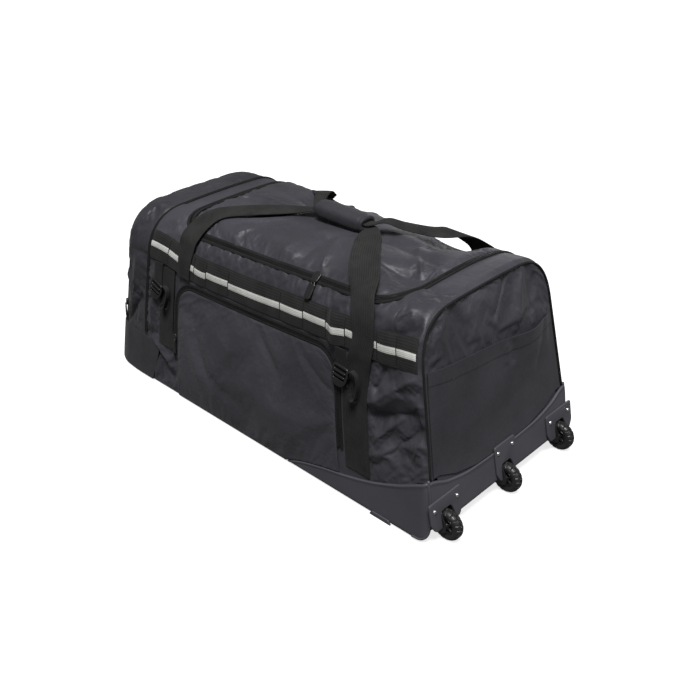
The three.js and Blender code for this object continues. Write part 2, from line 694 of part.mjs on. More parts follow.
// A row of an end section's outline, drawn in by the inset: its half width and height.
function endEdge(station, girth) {
  const normal = sectionNormal(station, girth);
  const flat = new THREE.Vector2(normal.y, normal.z).normalize();
  const point = sectionPoint(station, girth);
  return { half: Math.abs(point.y - flat.x * END_INSET), z: point.z - flat.y * END_INSET };
}

// Height of the right end's lower edge: tucked behind the base's rim, and on it at the corners.
function rightFoot(across) {
  const rim = lookUp(END_TOP, 'y', Math.abs(across) * END_TOP[END_TOP.length - 1].y, 'z');
  return Math.abs(across) < 0.9 ? rim - TUCK : rim + 1;
}

function rightSwell(across, z) {
  return 5 * Math.cos((Math.PI / 2) * across) * Math.sin(Math.PI * clamp01((z - 130) / 270));
}

// A point of an end wall for shares across and up; footAt gives its lower edge.
function endPoint(station, across, t, footAt, lowGirth) {
  const edge = endEdge(station, mix(lowGirth, WALL_GIRTH + ROLL_GIRTH, t));
  const low = endEdge(station, lowGirth).z;
  const top = endEdge(station, WALL_GIRTH + ROLL_GIRTH).z;
  const foot = footAt(across);
  const z = foot + ((edge.z - low) / (top - low)) * (top - foot);
  return { y: across * edge.half, z };
}

function buildEnds() {
  const rightLow = girthAtHeight(RIGHT, END_TOP[END_TOP.length - 1].z + 1);
  const right = (lift) => (s, t) => {
    const across = 2 * s - 1;
    const { y, z } = endPoint(RIGHT, across, t, rightFoot, rightLow);
    const fade = clamp01((z - 290) / 60) * clamp01((1 - Math.abs(across)) * 4) * clamp01(4 * (1 - t));
    const wrinkle = 1.5 * Math.cos(END_WRINKLES * Math.PI * across) * fade;
    return new THREE.Vector3(xAt(RIGHT, z) + lift + rightSwell(across, z) + wrinkle, y, z);
  };
  add('right_end_panel', sheet(right(0), right(-CLOTH), 12, END_ROWS), 'cloth');
  const left = (lift) => (s, t) => {
    const across = 1 - 2 * s;
    const { y, z } = endPoint(LEFT, across, t, () => CLOTH_FOOT, FLOOR_GIRTH);
    const swell = LEFT_SWELL * Math.cos((Math.PI / 2) * across) * Math.sin(Math.PI * t);
    return new THREE.Vector3(xAt(LEFT, z) + LEFT_RECESS - lift - swell, y, z);
  };
  add('left_end_panel', sheet(left(0), left(-CLOTH), 8, END_ROWS), 'cloth');
}

// Pockets
const POCKET_LEFT = -244;
const POCKET_RIGHT = 238;
const POCKET_TOP = 279;
const POCKET_CORNER = 46;
const POCKET_SWELL = 6.5;
const POCKET_FOLDS = [
  { from: [-190, 250], to: [60, 60], spread: 26, height: 2.5 },
  { from: [-60, 262], to: [170, 90], spread: 24, height: -2.5 },
  { from: [60, 250], to: [215, 130], spread: 22, height: 2 },
];
const END_POCKET_TOP = 300;
const END_POCKET_DROP = 0.07;
const MOUTH_GAPE = 14;
const SLEEVE_INSET = END_INSET + 6;
const PATCH_TOP = 114;
const PATCH_TOP_END = -306;
const PATCH_FOOT_END = -336;

// Height of the fold ridges at a place of the front pocket.
function foldAt(station, girth) {
  let height = 0;
  for (const fold of POCKET_FOLDS) {
    const from = new THREE.Vector2(...fold.from);
    const along = new THREE.Vector2(...fold.to).sub(from);
    const rel = new THREE.Vector2(station, girth).sub(from);
    const share = clamp01(rel.dot(along) / along.lengthSq());
    const away = rel.addScaledVector(along, -share).length() / fold.spread;
    height += fold.height * Math.exp(-away * away);
  }
  return height;
}

// Girth of the front pocket's upper edge at a station.
function pocketTop(station) {
  const left = clamp01((POCKET_LEFT + POCKET_CORNER - station) / POCKET_CORNER);
  const right = clamp01((station - POCKET_RIGHT + POCKET_CORNER) / POCKET_CORNER);
  const reach = Math.max(left, right);
  return POCKET_TOP - POCKET_CORNER * (1 - Math.sqrt(1 - reach * reach));
}

function pocketFoot(station) {
  const wing = lookUp(WING_TOP, 'station', station, 'z');
  const clear = station > WING_TOP[0].station ? wing + 2 : CLOTH_FOOT;
  return girthAtHeight(station, clear);
}

const POCKET_ARC = [0, 0.08, 0.3, 0.62, 1].map((share) => share * POCKET_CORNER);
const POCKET_STATIONS = [
  ...POCKET_ARC.map((offset) => POCKET_LEFT + offset), -155, -110, -60, -15, 30, 75, 120, 160,
  ...POCKET_ARC.toReversed().map((offset) => POCKET_RIGHT - offset),
];

function buildPockets() {
  const seat = SEAT + CLOTH;
  const place = (s, t) => {
    const station = mix(POCKET_LEFT, POCKET_RIGHT, s);
    const girth = mix(pocketFoot(station), pocketTop(station), t);
    const rise = Math.sin(Math.PI * s) ** 0.5 * Math.sin(Math.PI * t) ** 0.6;
    return { station, girth, lift: rise * (POCKET_SWELL + foldAt(station, girth)) };
  };
  add('front_pocket', panel(place, seat, CLOTH, POCKET_STATIONS, 7), 'cloth');
  const sleeve = (lift) => (s, t) => {
    const across = 2 * s - 1;
    const foot = lookUp(END_TOP, 'y', Math.abs(across) * END_TOP[END_TOP.length - 1].y, 'z') + 2;
    const z = mix(foot, END_POCKET_TOP - END_POCKET_DROP * across * 190, t);
    const half = endHalfWidth(RIGHT, z) - SLEEVE_INSET;
    const swell = rightSwell(across, z);
    const gape = MOUTH_GAPE * t * t * Math.sin(Math.PI * s) ** 0.5;
    return new THREE.Vector3(xAt(RIGHT, z) + swell + lift + gape, across * half, z);
  };
  add('end_pocket', sheet(sleeve(seat), sleeve(SEAT), 12, 5), 'cloth');
  const patchStations = [LEFT + 12, -466, -429, -372, LEFT_SEAM, PATCH_TOP_END];
  const patch = (s, t) => {
    const girth = mix(FLOOR_GIRTH, PATCH_TOP, t);
    const station = mix(patchStations[0], PATCH_TOP_END, s);
    if (station <= LEFT_SEAM) return { station, girth };
    const share = (station - LEFT_SEAM) / (PATCH_TOP_END - LEFT_SEAM);
    return { station: mix(LEFT_SEAM, mix(PATCH_FOOT_END, PATCH_TOP_END, t), share), girth };
  };
  add('corner_patch', panel(patch, seat, CLOTH, patchStations, 2), 'cloth');
}

// Zips: flat bands along paths of station and girth, with a slider and its pull
const ZIP_HALF = 5;
const ZIP_THICKNESS = 1.8;
const ZIP_FOOT = 124;

// A band of even width along a path on the bag; pathAt(s) gives station and girth.
function band(pathAt, half, lift, thickness, steps, rows = 1) {
  const place = (s, t) => {
    const here = pathAt(s);
    const before = pathAt(Math.max(0, s - 0.004));
    const after = pathAt(Math.min(1, s + 0.004));
    const way = new THREE.Vector2(after.station - before.station, after.girth - before.girth).normalize();
    const off = (2 * t - 1) * half;
    return { station: here.station - way.y * off, girth: here.girth + way.x * off, lift: here.lift ?? 0 };
  };
  return panel(place, lift, thickness, steps, rows);
}

// A path through straight runs joined by quarter ovals at its corners.
function roundedPath({ left, right, low, high, cornerAlong, cornerAcross }) {
  const rise = Math.abs(high - low) - cornerAcross;
  const run = right - left - 2 * cornerAlong;
  const arc = (Math.PI / 4) * (cornerAlong + cornerAcross);
  const total = 2 * rise + 2 * arc + run;
  const up = Math.sign(high - low);
  return (s) => {
    let d = s * total;
    if (d <= rise) return { station: left, girth: low + up * d };
    d -= rise;
    if (d <= arc) {
      const a = (Math.PI / 2) * (d / arc);
      const girth = high - up * cornerAcross * (1 - Math.sin(a));
      return { station: left + cornerAlong * (1 - Math.cos(a)), girth };
    }
    d -= arc;
    if (d <= run) return { station: left + cornerAlong + d, girth: high };
    d -= run;
    if (d <= arc) {
      const a = (Math.PI / 2) * (d / arc);
      const girth = high - up * cornerAcross * (1 - Math.cos(a));
      return { station: right - cornerAlong * (1 - Math.sin(a)), girth };
    }
    d -= arc;
    return { station: right, girth: high - up * (cornerAcross + d) };
  };
}

function buildZips() {
  const lift = SEAT + ZIP_THICKNESS;
  const lidPath = roundedPath({
    left: LID_LEFT,
    right: LID_RIGHT,
    low: LID_BACK - 30,
    high: LID_FRONT,
    cornerAlong: LID_CORNER_ALONG,
    cornerAcross: LID_CORNER_ACROSS,
  });
  add('lid_zip', band(lidPath, ZIP_HALF, lift, ZIP_THICKNESS, 50), 'webbing');
  const beside = ZIP_HALF + 2.5;
  const out = POCKET_CORNER + beside;
  const pocketPath = roundedPath({
    left: POCKET_LEFT - beside,
    right: POCKET_RIGHT + beside,
    low: 100,
    high: POCKET_TOP + beside,
    cornerAlong: out,
    cornerAcross: out,
  });
  add('pocket_zip', band(pocketPath, ZIP_HALF, lift, ZIP_THICKNESS, 36), 'webbing');
  const endPath = (s) => ({ station: LEFT_SEAM, girth: mix(ZIP_FOOT, FULL_GIRTH - ZIP_FOOT, s) });
  const endKnots = [ZIP_FOOT, ...GIRTH_KNOTS.slice(2, -2), FULL_GIRTH - ZIP_FOOT];
  add('left_end_zip', band(endPath, ZIP_HALF, lift, ZIP_THICKNESS, endKnots), 'webbing');
  const pulls = [
    { name: 'lid_zip_pull', station: 152, girth: LID_FRONT - 2, lift: lift },
    { name: 'pocket_zip_pull', station: POCKET_LEFT - beside, girth: 150, lift: lift },
    { name: 'left_end_zip_pull', station: -458, girth: 162, lift: GAP },
  ];
  for (const row of pulls) {
    const place = (s, t) => ({
      station: row.station + (2 * s - 1) * mix(3, 5, clamp01(3 * t)),
      girth: row.girth + 6 - 38 * t,
    });
    add(row.name, panel(place, row.lift + GAP + 3, 3, 1, 6), 'plastic');
  }
}

// Webbing band across the front with its pale stripe and one slack loop
const BAND_GIRTH = 325;
const BAND_HALF = 24;
const STRIPE_HALF = 4.5;
const STRIPE_THICKNESS = 1;
const LOOP = { station: 243, spread: 15, rise: 9 };
const BAND_LIFT = SEAT + WEBBING;
const STRIPE_LIFT = BAND_LIFT + SEAT + STRIPE_THICKNESS;

const BAND_STATIONS = [
  LEFT_SEAM + ZIP_HALF + 2, -320, -270, -220, -170, -90, 0, 90, 200,
  218, 231, 243, 255, 268, 285, 342, 370, 400, 420, 440, RIGHT - 8,
];

// The middle of the band, which climbs a little at both ends.
function bandGirth(station) {
  return BAND_GIRTH + 17 * ease((-160 - station) / 190) + 9 * ease((station - 340) / 110);
}

function loopRise(station) {
  const away = (station - LOOP.station) / LOOP.spread;
  return LOOP.rise * Math.exp(-away * away);
}

function buildBand() {
  const path = (s) => {
    const station = mix(BAND_STATIONS[0], RIGHT - 8, s);
    return { station, girth: bandGirth(station), lift: loopRise(station) };
  };
  add('webbing_band', band(path, BAND_HALF, BAND_LIFT, WEBBING, BAND_STATIONS, 3), 'webbing');
  const stripe = band(path, STRIPE_HALF, STRIPE_LIFT, STRIPE_THICKNESS, BAND_STATIONS);
  add('reflective_stripe', stripe, 'reflective');
}

// Handles: webbing ribbons, each row a place of the centre line with its width and sideways direction
const HANDLE_HALF = 29;
const GRIP_CENTRE = new THREE.Vector3(30, 10, 426);
const GRIP_HALF = 60;
const GRIP_HALF_WIDE = 22;
const GRIP_HALF_HIGH = 17;
const GRIP_ROUND = 14;
const OVER_BAND = STRIPE_LIFT + SEAT + WEBBING;
const ON_WALL = SEAT + WEBBING;

// A row of a ribbon that is sewn on the bag.
function sewn(station, girth, lift, half = HANDLE_HALF) {
  return { at: surface(station, girth, lift), side: [1, 0, 0], half };
}

// A row of a ribbon that runs free; turn is the sideways direction in the XY plane, tip its rise.
function free(x, y, z, turn, half, tip = 0) {
  const angle = THREE.MathUtils.degToRad(turn);
  return { at: new THREE.Vector3(x, y, z), side: [Math.cos(angle), Math.sin(angle), tip], half };
}

function ribbon(rows, thickness, steps) {
  const centre = new THREE.CatmullRomCurve3(rows.map((row) => row.at), false, 'centripetal');
  const sideRows = rows.map((row) => new THREE.Vector3(...row.side));
  const sides = new THREE.CatmullRomCurve3(sideRows, false, 'centripetal');
  const last = rows.length - 1;
  const halfAt = (s) => {
    const i = Math.min(last - 1, Math.floor(s * last));
    return mix(rows[i].half, rows[i + 1].half, s * last - i);
  };
  const face = (offset) => (s, t) => {
    const side = sides.getPoint(s).normalize();
    const normal = centre.getTangent(s).cross(side).normalize();
    return centre.getPoint(s).addScaledVector(side, (2 * t - 1) * halfAt(s)).addScaledVector(normal, offset);
  };
  return sheet(face(thickness / 2), face(-thickness / 2), steps, 1);
}

const IN_GRIP = 13;
const FRONT_LEG = 289;
const LEFT_LEG = -226;
const BACK_LEG = 288;
const BACK_LEFT_LEG = -222;
const RIBBON_STEPS = 46;
const ANCHOR = { station: -287, foot: 116, half: 24 };
const GRIP_FRONT_Z = GRIP_CENTRE.z - 2.6;
const GRIP_BACK_Z = GRIP_CENTRE.z + 2.6;

function buildHandles() {
  const lift = WEBBING / 2;
  const gripRight = GRIP_CENTRE.x + GRIP_HALF;
  const gripLeft = GRIP_CENTRE.x - GRIP_HALF;
  const gripY = GRIP_CENTRE.y;
  const front = [
    sewn(FRONT_LEG, 72, ON_WALL - lift),
    sewn(FRONT_LEG, 130, ON_WALL - lift),
    sewn(FRONT_LEG, 200, ON_WALL - lift),
    sewn(FRONT_LEG + 8, 262, ON_WALL - lift, 28),
    sewn(FRONT_LEG + 23, 300, OVER_BAND - lift, 25),
    sewn(FRONT_LEG + 31, 325, OVER_BAND - lift, 24),
    sewn(FRONT_LEG + 29, 350, OVER_BAND + 3 - lift, 25),
    sewn(FRONT_LEG + 12, 384, 17, 27),
    free(214, -136, 417, 26, 28),
    free(178, -94, 425, 36, 27),
    free(146, -50, 430, 40, 25),
    free(120, -18, 430, 50, 18, 0.1),
    free(gripRight + 8, gripY - 4, GRIP_FRONT_Z, 80, IN_GRIP),
    free(gripRight - 4, gripY, GRIP_FRONT_Z, 90, IN_GRIP),
    free(GRIP_CENTRE.x, gripY, GRIP_FRONT_Z, 90, IN_GRIP),
    free(gripLeft + 4, gripY, GRIP_FRONT_Z, 90, IN_GRIP),
    free(gripLeft - 8, gripY, GRIP_FRONT_Z - 2, 92, IN_GRIP),
    free(gripLeft - 34, gripY - 4, 413, 98, 17),
    free(gripLeft - 84, -20, 407, 118, 24),
    free(gripLeft - 134, -66, 405, 142, 26),
    free(LEFT_LEG + 20, -120, 399, 165, 26),
    sewn(LEFT_LEG, 374, OVER_BAND + 4 - lift, 25),
    sewn(LEFT_LEG, 348, OVER_BAND - lift, 21),
    sewn(LEFT_LEG, 325, OVER_BAND - lift, 18),
    sewn(LEFT_LEG, 304, OVER_BAND - lift, 18),
  ];
  front.slice(-4).forEach((row) => row.side = [-1, 0, 0]);
  add('front_handle', ribbon(front, WEBBING, RIBBON_STEPS), 'webbing');
  const rear = [
    sewn(BACK_LEG, FULL_GIRTH - 98, ON_WALL - lift),
    sewn(BACK_LEG, FULL_GIRTH - 150, ON_WALL - lift),
    sewn(BACK_LEG, FULL_GIRTH - 230, ON_WALL - lift),
    sewn(BACK_LEG, FULL_GIRTH - 280, ON_WALL - lift),
    sewn(BACK_LEG, FULL_GIRTH - 316, ON_WALL + 2),
    free(234, 191, 357, 22, 28),
    free(216, 171, 380, 20, 27),
    free(212, 130, 408, 4, 24, -0.1),
    free(184, 101, 409, -34, 18, -0.2),
    free(143, 55, 424, -50, 14, -0.2),
    free(120, 30, 436, -66, 13),
    free(gripRight + 9, gripY + 1, GRIP_BACK_Z + 0.6, -88, IN_GRIP),
    free(gripRight - 4, gripY, GRIP_BACK_Z, -90, IN_GRIP),
    free(GRIP_CENTRE.x, gripY, GRIP_BACK_Z, -90, IN_GRIP),
    free(gripLeft + 4, gripY, GRIP_BACK_Z, -90, IN_GRIP),
    free(gripLeft - 7, gripY + 0.6, GRIP_BACK_Z + 0.6, -98, IN_GRIP),
    free(gripLeft - 15, gripY + 10, 436, -122, 13),
    free(gripLeft - 26, gripY + 28, 440, -136, 14),
    free(gripLeft - 44, gripY + 52, 433, -140, 17),
    free(gripLeft - 68, gripY + 80, 413, -140, 21),
    free(gripLeft - 98, 119, 396, -142, 24, 0.1),
    free(gripLeft - 130, 146, 381, -152, 26, 0.2),
    sewn(BACK_LEFT_LEG + 22, FULL_GIRTH - 364, 9, 28),
    sewn(BACK_LEFT_LEG + 8, FULL_GIRTH - 340, ON_WALL + 3),
    sewn(BACK_LEFT_LEG, FULL_GIRTH - 312, ON_WALL - lift),
    sewn(BACK_LEFT_LEG, FULL_GIRTH - 230, ON_WALL - lift),
    sewn(BACK_LEFT_LEG, FULL_GIRTH - 150, ON_WALL - lift),
    sewn(BACK_LEFT_LEG, FULL_GIRTH - 60, ON_WALL - lift),
  ];
  rear.slice(-6).forEach((row) => row.side = [-1, 0, 0]);
  add('rear_handle', ribbon(rear, WEBBING, RIBBON_STEPS), 'webbing');
  const anchorTop = bandGirth(ANCHOR.station) - BAND_HALF - 6;
  const anchor = (s) => ({ station: ANCHOR.station, girth: mix(ANCHOR.foot, anchorTop, s) });
  add('anchor_strap_left', band(anchor, ANCHOR.half, ON_WALL, WEBBING, 8), 'webbing');
  buildGrip();
}

// The padded grip: a thick sleeve open at both ends, wrapped round the two ribbons
function roundedBox(halfWide, halfHigh, round) {
  const shape = new THREE.Shape();
  shape.moveTo(-halfWide + round, -halfHigh);
  shape.lineTo(halfWide - round, -halfHigh);
  shape.absarc(halfWide - round, -halfHigh + round, round, -Math.PI / 2, 0, false);
  shape.lineTo(halfWide, halfHigh - round);
  shape.absarc(halfWide - round, halfHigh - round, round, 0, Math.PI / 2, false);
  shape.lineTo(-halfWide + round, halfHigh);
  shape.absarc(-halfWide + round, halfHigh - round, round, Math.PI / 2, Math.PI, false);
  shape.lineTo(-halfWide, -halfHigh + round);
  shape.absarc(-halfWide + round, -halfHigh + round, round, Math.PI, 1.5 * Math.PI, false);
  return shape;
}

function buildGrip() {
  const sleeve = roundedBox(GRIP_HALF_WIDE, GRIP_HALF_HIGH, GRIP_ROUND);
  sleeve.holes.push(roundedBox(IN_GRIP + 2, 5, 1.5));
  const length = { depth: 2 * GRIP_HALF, bevelEnabled: false, curveSegments: 3 };
  const geometry = new THREE.ExtrudeGeometry(sleeve, length);
  geometry.translate(0, 0, -GRIP_HALF).rotateX(Math.PI / 2).rotateZ(Math.PI / 2);
  geometry.translate(GRIP_CENTRE.x, GRIP_CENTRE.y, GRIP_CENTRE.z);
  add('grip', geometry, 'cloth');
}

// Ladder-lock buckles, each on a strap that comes down from the band and runs behind it
const BUCKLES = [
  { name: 'left', station: -318, strapLift: 6.2, strapRise: 0, stand: 6.8, tailGap: 2 },
  { name: 'right', station: 262, strapLift: 6, strapRise: 5.2, stand: 8.4, tailGap: 3.3 },
];
const BUCKLE_GIRTH = 250;
const BUCKLE_HALF_WIDE = 22;
const BUCKLE_HALF_HIGH = 24;
const BUCKLE_THICKNESS = 5;
const BUCKLE_SLOTS = [-11, 7];
const STRAP_HALF = 14;
const STRAP_FOOT = BUCKLE_GIRTH - 20;
const RISE_FROM = 262;

function buildBuckles() {
  for (const row of BUCKLES) {
    const frame = roundedBox(BUCKLE_HALF_WIDE, BUCKLE_HALF_HIGH, 7);
    for (const middle of BUCKLE_SLOTS) {
      const slot = roundedBox(STRAP_HALF + 1.5, 5, 2);
      frame.holes.push(new THREE.Path(slot.getPoints(1).map((p) => new THREE.Vector2(p.x, p.y + middle))));
    }
    const depth = { depth: BUCKLE_THICKNESS, bevelEnabled: false, curveSegments: 2 };
    const geometry = new THREE.ExtrudeGeometry(frame, depth);
    const buckle = add(`buckle_${row.name}`, geometry, 'plastic');
    const normal = sectionNormal(row.station, BUCKLE_GIRTH);
    const head = sectionPoint(row.station, BUCKLE_GIRTH + BUCKLE_HALF_HIGH);
    const up = head.sub(sectionPoint(row.station, BUCKLE_GIRTH - BUCKLE_HALF_HIGH)).normalize();
    const across = up.clone().cross(normal).normalize();
    buckle.applyMatrix4(new THREE.Matrix4().makeBasis(across, up, normal));
    buckle.position.copy(surface(row.station, BUCKLE_GIRTH, row.stand));
    const strapTop = bandGirth(row.station) - BAND_HALF - 2;
    const hanger = (s) => {
      const girth = mix(STRAP_FOOT, strapTop, s);
      const rise = row.strapRise * clamp01((girth - RISE_FROM) / (strapTop - RISE_FROM));
      return { station: row.station, girth, lift: rise };
    };
    add(`buckle_strap_${row.name}`, band(hanger, STRAP_HALF, row.strapLift, WEBBING, 5), 'webbing');
    buildTail(row);
  }
}

// The strap's free tail: out of the buckle, round in an open loop beside it.
function buildTail(row) {
  const side = BUCKLE_HALF_WIDE + WEBBING / 2 + row.tailGap;
  const lift = row.stand + BUCKLE_THICKNESS / 2;
  const place = (along, girth, raise) => surface(row.station + along, BUCKLE_GIRTH + girth, lift + raise);
  const rows = [
    { at: place(side, 18, 0), side: [0, 0.1, 1], half: 6 },
    { at: place(side + 14, 12, 6), side: [0, 0.1, 1], half: 9 },
    { at: place(side + 26, 0, 5), side: [0.3, 0.1, 1], half: 10 },
    { at: place(side + 24, -18, 2), side: [0.6, 0.1, 0.8], half: 10 },
    { at: place(side + 8, -28, 0), side: [0.6, 0.1, 0.8], half: 9 },
  ];
  add(`buckle_tail_${row.name}`, ribbon(rows, WEBBING, 10), 'webbing');
}

// Piping round the two ends
const PIPING_RADIUS = 3;
const PIPING_STEPS = 28;
const PIPING_KNOTS = 40;
const PIPING_FOOT = 134;

function piping(name, station, outward, from) {
  const points = [];
  for (const share of shares(PIPING_KNOTS)) {
    const girth = mix(from, FULL_GIRTH - from, share);
    const lift = reliefAt(station, girth);
    const normal = sectionNormal(station, girth);
    const point = sectionPoint(station, girth).addScaledVector(normal, lift - CLOTH / 2);
    point.x += outward * (PIPING_RADIUS + SEAT);
    points.push(point);
  }
  const ring = new THREE.Shape();
  ring.absarc(0, 0, PIPING_RADIUS, 0, 2 * Math.PI, false);
  const path = new THREE.CatmullRomCurve3(points);
  const along = { extrudePath: path, steps: PIPING_STEPS, bevelEnabled: false, curveSegments: 3 };
  const geometry = new THREE.ExtrudeGeometry(ring, along);
  add(name, geometry, 'webbing');
}

buildBase();
for (const wheel of WHEELS) {
  buildHousing(wheel);
  buildWheel(wheel);
}
buildWalls();
buildEnds();
buildPockets();
buildZips();
buildBand();
buildHandles();
buildBuckles();
piping('piping_right', RIGHT, 1, girthAtHeight(RIGHT, PIPING_FOOT));
piping('piping_left', GUSSET_START, -1, FLOOR_GIRTH + 6);

export default bag;
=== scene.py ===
"""Looks of a large wheeled sports bag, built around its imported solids.

Lengths are in millimetres until a mesh is made, and meshes are in metres.
+X points along the bag towards the wheels, -Y towards the pocketed front and +Z up.
"""
import json
import math

import bmesh
import bpy
import numpy as np
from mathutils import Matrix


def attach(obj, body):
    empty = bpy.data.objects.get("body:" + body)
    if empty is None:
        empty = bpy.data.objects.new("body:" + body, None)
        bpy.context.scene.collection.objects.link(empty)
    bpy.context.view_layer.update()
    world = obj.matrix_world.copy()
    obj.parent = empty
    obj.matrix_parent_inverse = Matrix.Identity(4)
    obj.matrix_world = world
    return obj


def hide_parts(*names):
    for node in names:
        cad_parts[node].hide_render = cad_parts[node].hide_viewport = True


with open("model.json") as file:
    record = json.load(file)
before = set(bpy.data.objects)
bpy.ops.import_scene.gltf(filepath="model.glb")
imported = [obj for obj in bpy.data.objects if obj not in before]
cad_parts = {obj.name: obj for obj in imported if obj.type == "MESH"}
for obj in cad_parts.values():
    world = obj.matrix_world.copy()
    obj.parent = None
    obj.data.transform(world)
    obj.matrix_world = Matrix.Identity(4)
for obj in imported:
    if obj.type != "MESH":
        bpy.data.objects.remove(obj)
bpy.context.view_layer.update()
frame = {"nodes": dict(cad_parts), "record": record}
MM = 0.001
BODY = "bag"


def columns(names, rows):
    """A table as one array for each named column."""
    values = np.array(rows, float)
    return {name: values[:, i] for i, name in enumerate(names.split())}


# Main sizes, as in the solids
HALF_LENGTH = 485.0
WHEEL_RADIUS = 30.0
WHEEL_WIDTH = 20.0
LEFT = -HALF_LENGTH
RIGHT = HALF_LENGTH - WHEEL_RADIUS
LEFT_LEAN = 0.124
RIGHT_LEAN = 0.208
CORNER = 82.0
CLOTH = 2.0
WEBBING = 2.2
SEAT = 0.9
GAP = 0.3
WALL_GIRTH = 320.0
ROLL_GIRTH = 115.0
FLAT_GIRTH = 100.0
HALF_GIRTH = WALL_GIRTH + ROLL_GIRTH + FLAT_GIRTH
FULL_GIRTH = 2 * HALF_GIRTH

SECTIONS = columns("station foot shoulder height crown bulge", [
    (-485, 184.6, 146.8, 354, 0, 0),
    (-466, 204.5, 166.6, 367, 3, 0),
    (-429, 217.1, 179.3, 374, 5, 0),
    (-372, 220.7, 182.9, 376, 6, 3),
    (-15, 220.7, 182.9, 390, 8, 6),
    (342, 220.7, 182.9, 405, 6, 4),
    (440, 220.7, 182.9, 405, 5, 0),
    (455, 216.7, 178.9, 402, 4, 0),
])

# Broad dents and puffs of the cloth
OVALS = columns("station girth along across height", [
    (250, 665, 100, 60, -36),
    (20, 655, 125, 60, -16),
    (-120, 690, 90, 50, -7),
    (130, 455, 60, 45, 4),
    (-150, 470, 80, 40, -4),
    (316, 470, 46, 55, -8),
    (385, 190, 60, 70, -9),
])

# Folds of the walls and the lid: soft ridges and grooves along straight lines
FOLDS = columns("station0 girth0 station1 girth1 spread height", [
    (-240, 400, -60, 500, 17, 6.0),
    (-210, 430, -90, 520, 13, -6.5),
    (-120, 400, -20, 492, 16, 6.0),
    (40, 395, 60, 500, 17, 6.5),
    (95, 400, 84, 490, 14, -7.0),
    (170, 395, 112, 490, 15, 7.0),
    (300, 560, 120, 545, 16, -6.0),
    (350, 470, 260, 560, 15, 7.0),
    (-250, 560, -90, 545, 18, 5.0),
    (-260, 620, -60, 580, 18, -5.0),
    (20, 600, 10, 690, 16, 4.0),
    (-40, 620, -80, 700, 15, 4.0),
    (340, 342, 424, 400, 13, 6.0),
    (366, 334, 444, 372, 11, -6.5),
    (330, 366, 384, 420, 10, 4.5),
    (400, 410, 446, 470, 12, -4.5),
    (326, 216, 446, 304, 15, 12.0),
    (326, 192, 444, 236, 13, -11.0),
    (334, 150, 408, 226, 11, 9.0),
    (372, 140, 448, 214, 11, -9.0),
    (322, 118, 430, 180, 11, 7.0),
    (404, 124, 444, 190, 11, 6.0),
    (342, 240, 368, 300, 8, -7.0),
    (120, 505, 330, 424, 19, 7.0),
    (150, 545, 345, 520, 17, -9.0),
    (240, 455, 376, 476, 14, -8.0),
    (-345, 130, -338, 300, 9, 5.0),
    (-262, 30, -258, 290, 9, -4.0),
    (-336, 122, -256, 62, 13, 6.0),
    (-322, 96, -262, 30, 11, -5.5),
    (-430, 150, -396, 320, 16, 6.0),
    (-452, 110, -385, 214, 14, -6.0),
    (-470, 220, -430, 330, 12, 4.0),
    (-440, 330, -395, 430, 14, 5.0),
    (-400, 360, -390, 520, 18, 2.5),
    (-430, 480, -380, 640, 16, -2.5),
])


def smooth_interp(at, xs, ys):
    """Monotone cubic through the table's points."""
    steps = np.diff(xs)
    slopes = np.diff(ys) / steps
    product = slopes[:-1] * slopes[1:]
    total = slopes[:-1] + slopes[1:]
    inner = np.where(product > 0, 2 * product / np.where(total == 0, 1, total), 0)
    tangents = np.concatenate([[slopes[0]], inner, [slopes[-1]]])
    at = np.clip(at, xs[0], xs[-1])
    i = np.clip(np.searchsorted(xs, at, side="right") - 1, 0, len(steps) - 1)
    h = steps[i]
    t = (at - xs[i]) / h
    return (ys[i] * (1 + 2 * t) * (1 - t) ** 2 + ys[i + 1] * t * t * (3 - 2 * t)
            + tangents[i] * h * t * (1 - t) ** 2 - tangents[i + 1] * h * t * t * (1 - t))


def mix(a, b, share):
    return a + (b - a) * share


def ease(value):
    """A smooth step from 0 to 1."""
    value = np.clip(value, 0, 1)
    return value * value * (3 - 2 * value)


def x_at(station, z):
    """The leaning end planes: x at a station and a height."""
    share = (station - LEFT) / (RIGHT - LEFT)
    return mix(LEFT + LEFT_LEAN * z, RIGHT - RIGHT_LEAN * z, share)


def section(station, girth):
    """Points of the plain cross sections: straight wall, rolled corner, crowned top."""
    station, girth = np.broadcast_arrays(np.asarray(station, float), np.asarray(girth, float))
    side = np.where(girth <= HALF_GIRTH, -1.0, 1.0)
    g = np.where(side < 0, girth, FULL_GIRTH - girth)
    foot, shoulder, height, crown, bulge = (
        smooth_interp(station, SECTIONS["station"], SECTIONS[name])
        for name in ("foot", "shoulder", "height", "crown", "bulge"))
    keep = 1 - CORNER / np.hypot(shoulder - foot, height)
    wall_y = mix(foot, shoulder, keep)
    wall_z = height * keep
    flat_y = shoulder - CORNER
    up = np.clip(g / WALL_GIRTH, 0, 1)
    t = np.clip((g - WALL_GIRTH) / ROLL_GIRTH, 0, 1)
    u = np.clip((g - WALL_GIRTH - ROLL_GIRTH) / FLAT_GIRTH, 0, 1)
    roll_y = wall_y * (1 - t) ** 2 + shoulder * 2 * t * (1 - t) + flat_y * t * t
    roll_z = wall_z * (1 - t) ** 2 + height * (1 - (1 - t) ** 2)
    on_wall = g <= WALL_GIRTH
    on_roll = g <= WALL_GIRTH + ROLL_GIRTH
    y = np.where(on_wall, mix(foot, wall_y, up) + bulge * np.sin(np.pi * up),
                 np.where(on_roll, roll_y, flat_y * (1 - u)))
    z = np.where(on_wall, wall_z * up, np.where(on_roll, roll_z, height))
    z = z + np.where(on_wall, 0, crown * np.clip(1 - (y / shoulder) ** 2, 0, 1))
    return np.stack([x_at(station, z), side * y, z], -1)


def unit(vectors):
    return vectors / np.maximum(np.linalg.norm(vectors, axis=-1, keepdims=True), 1e-9)


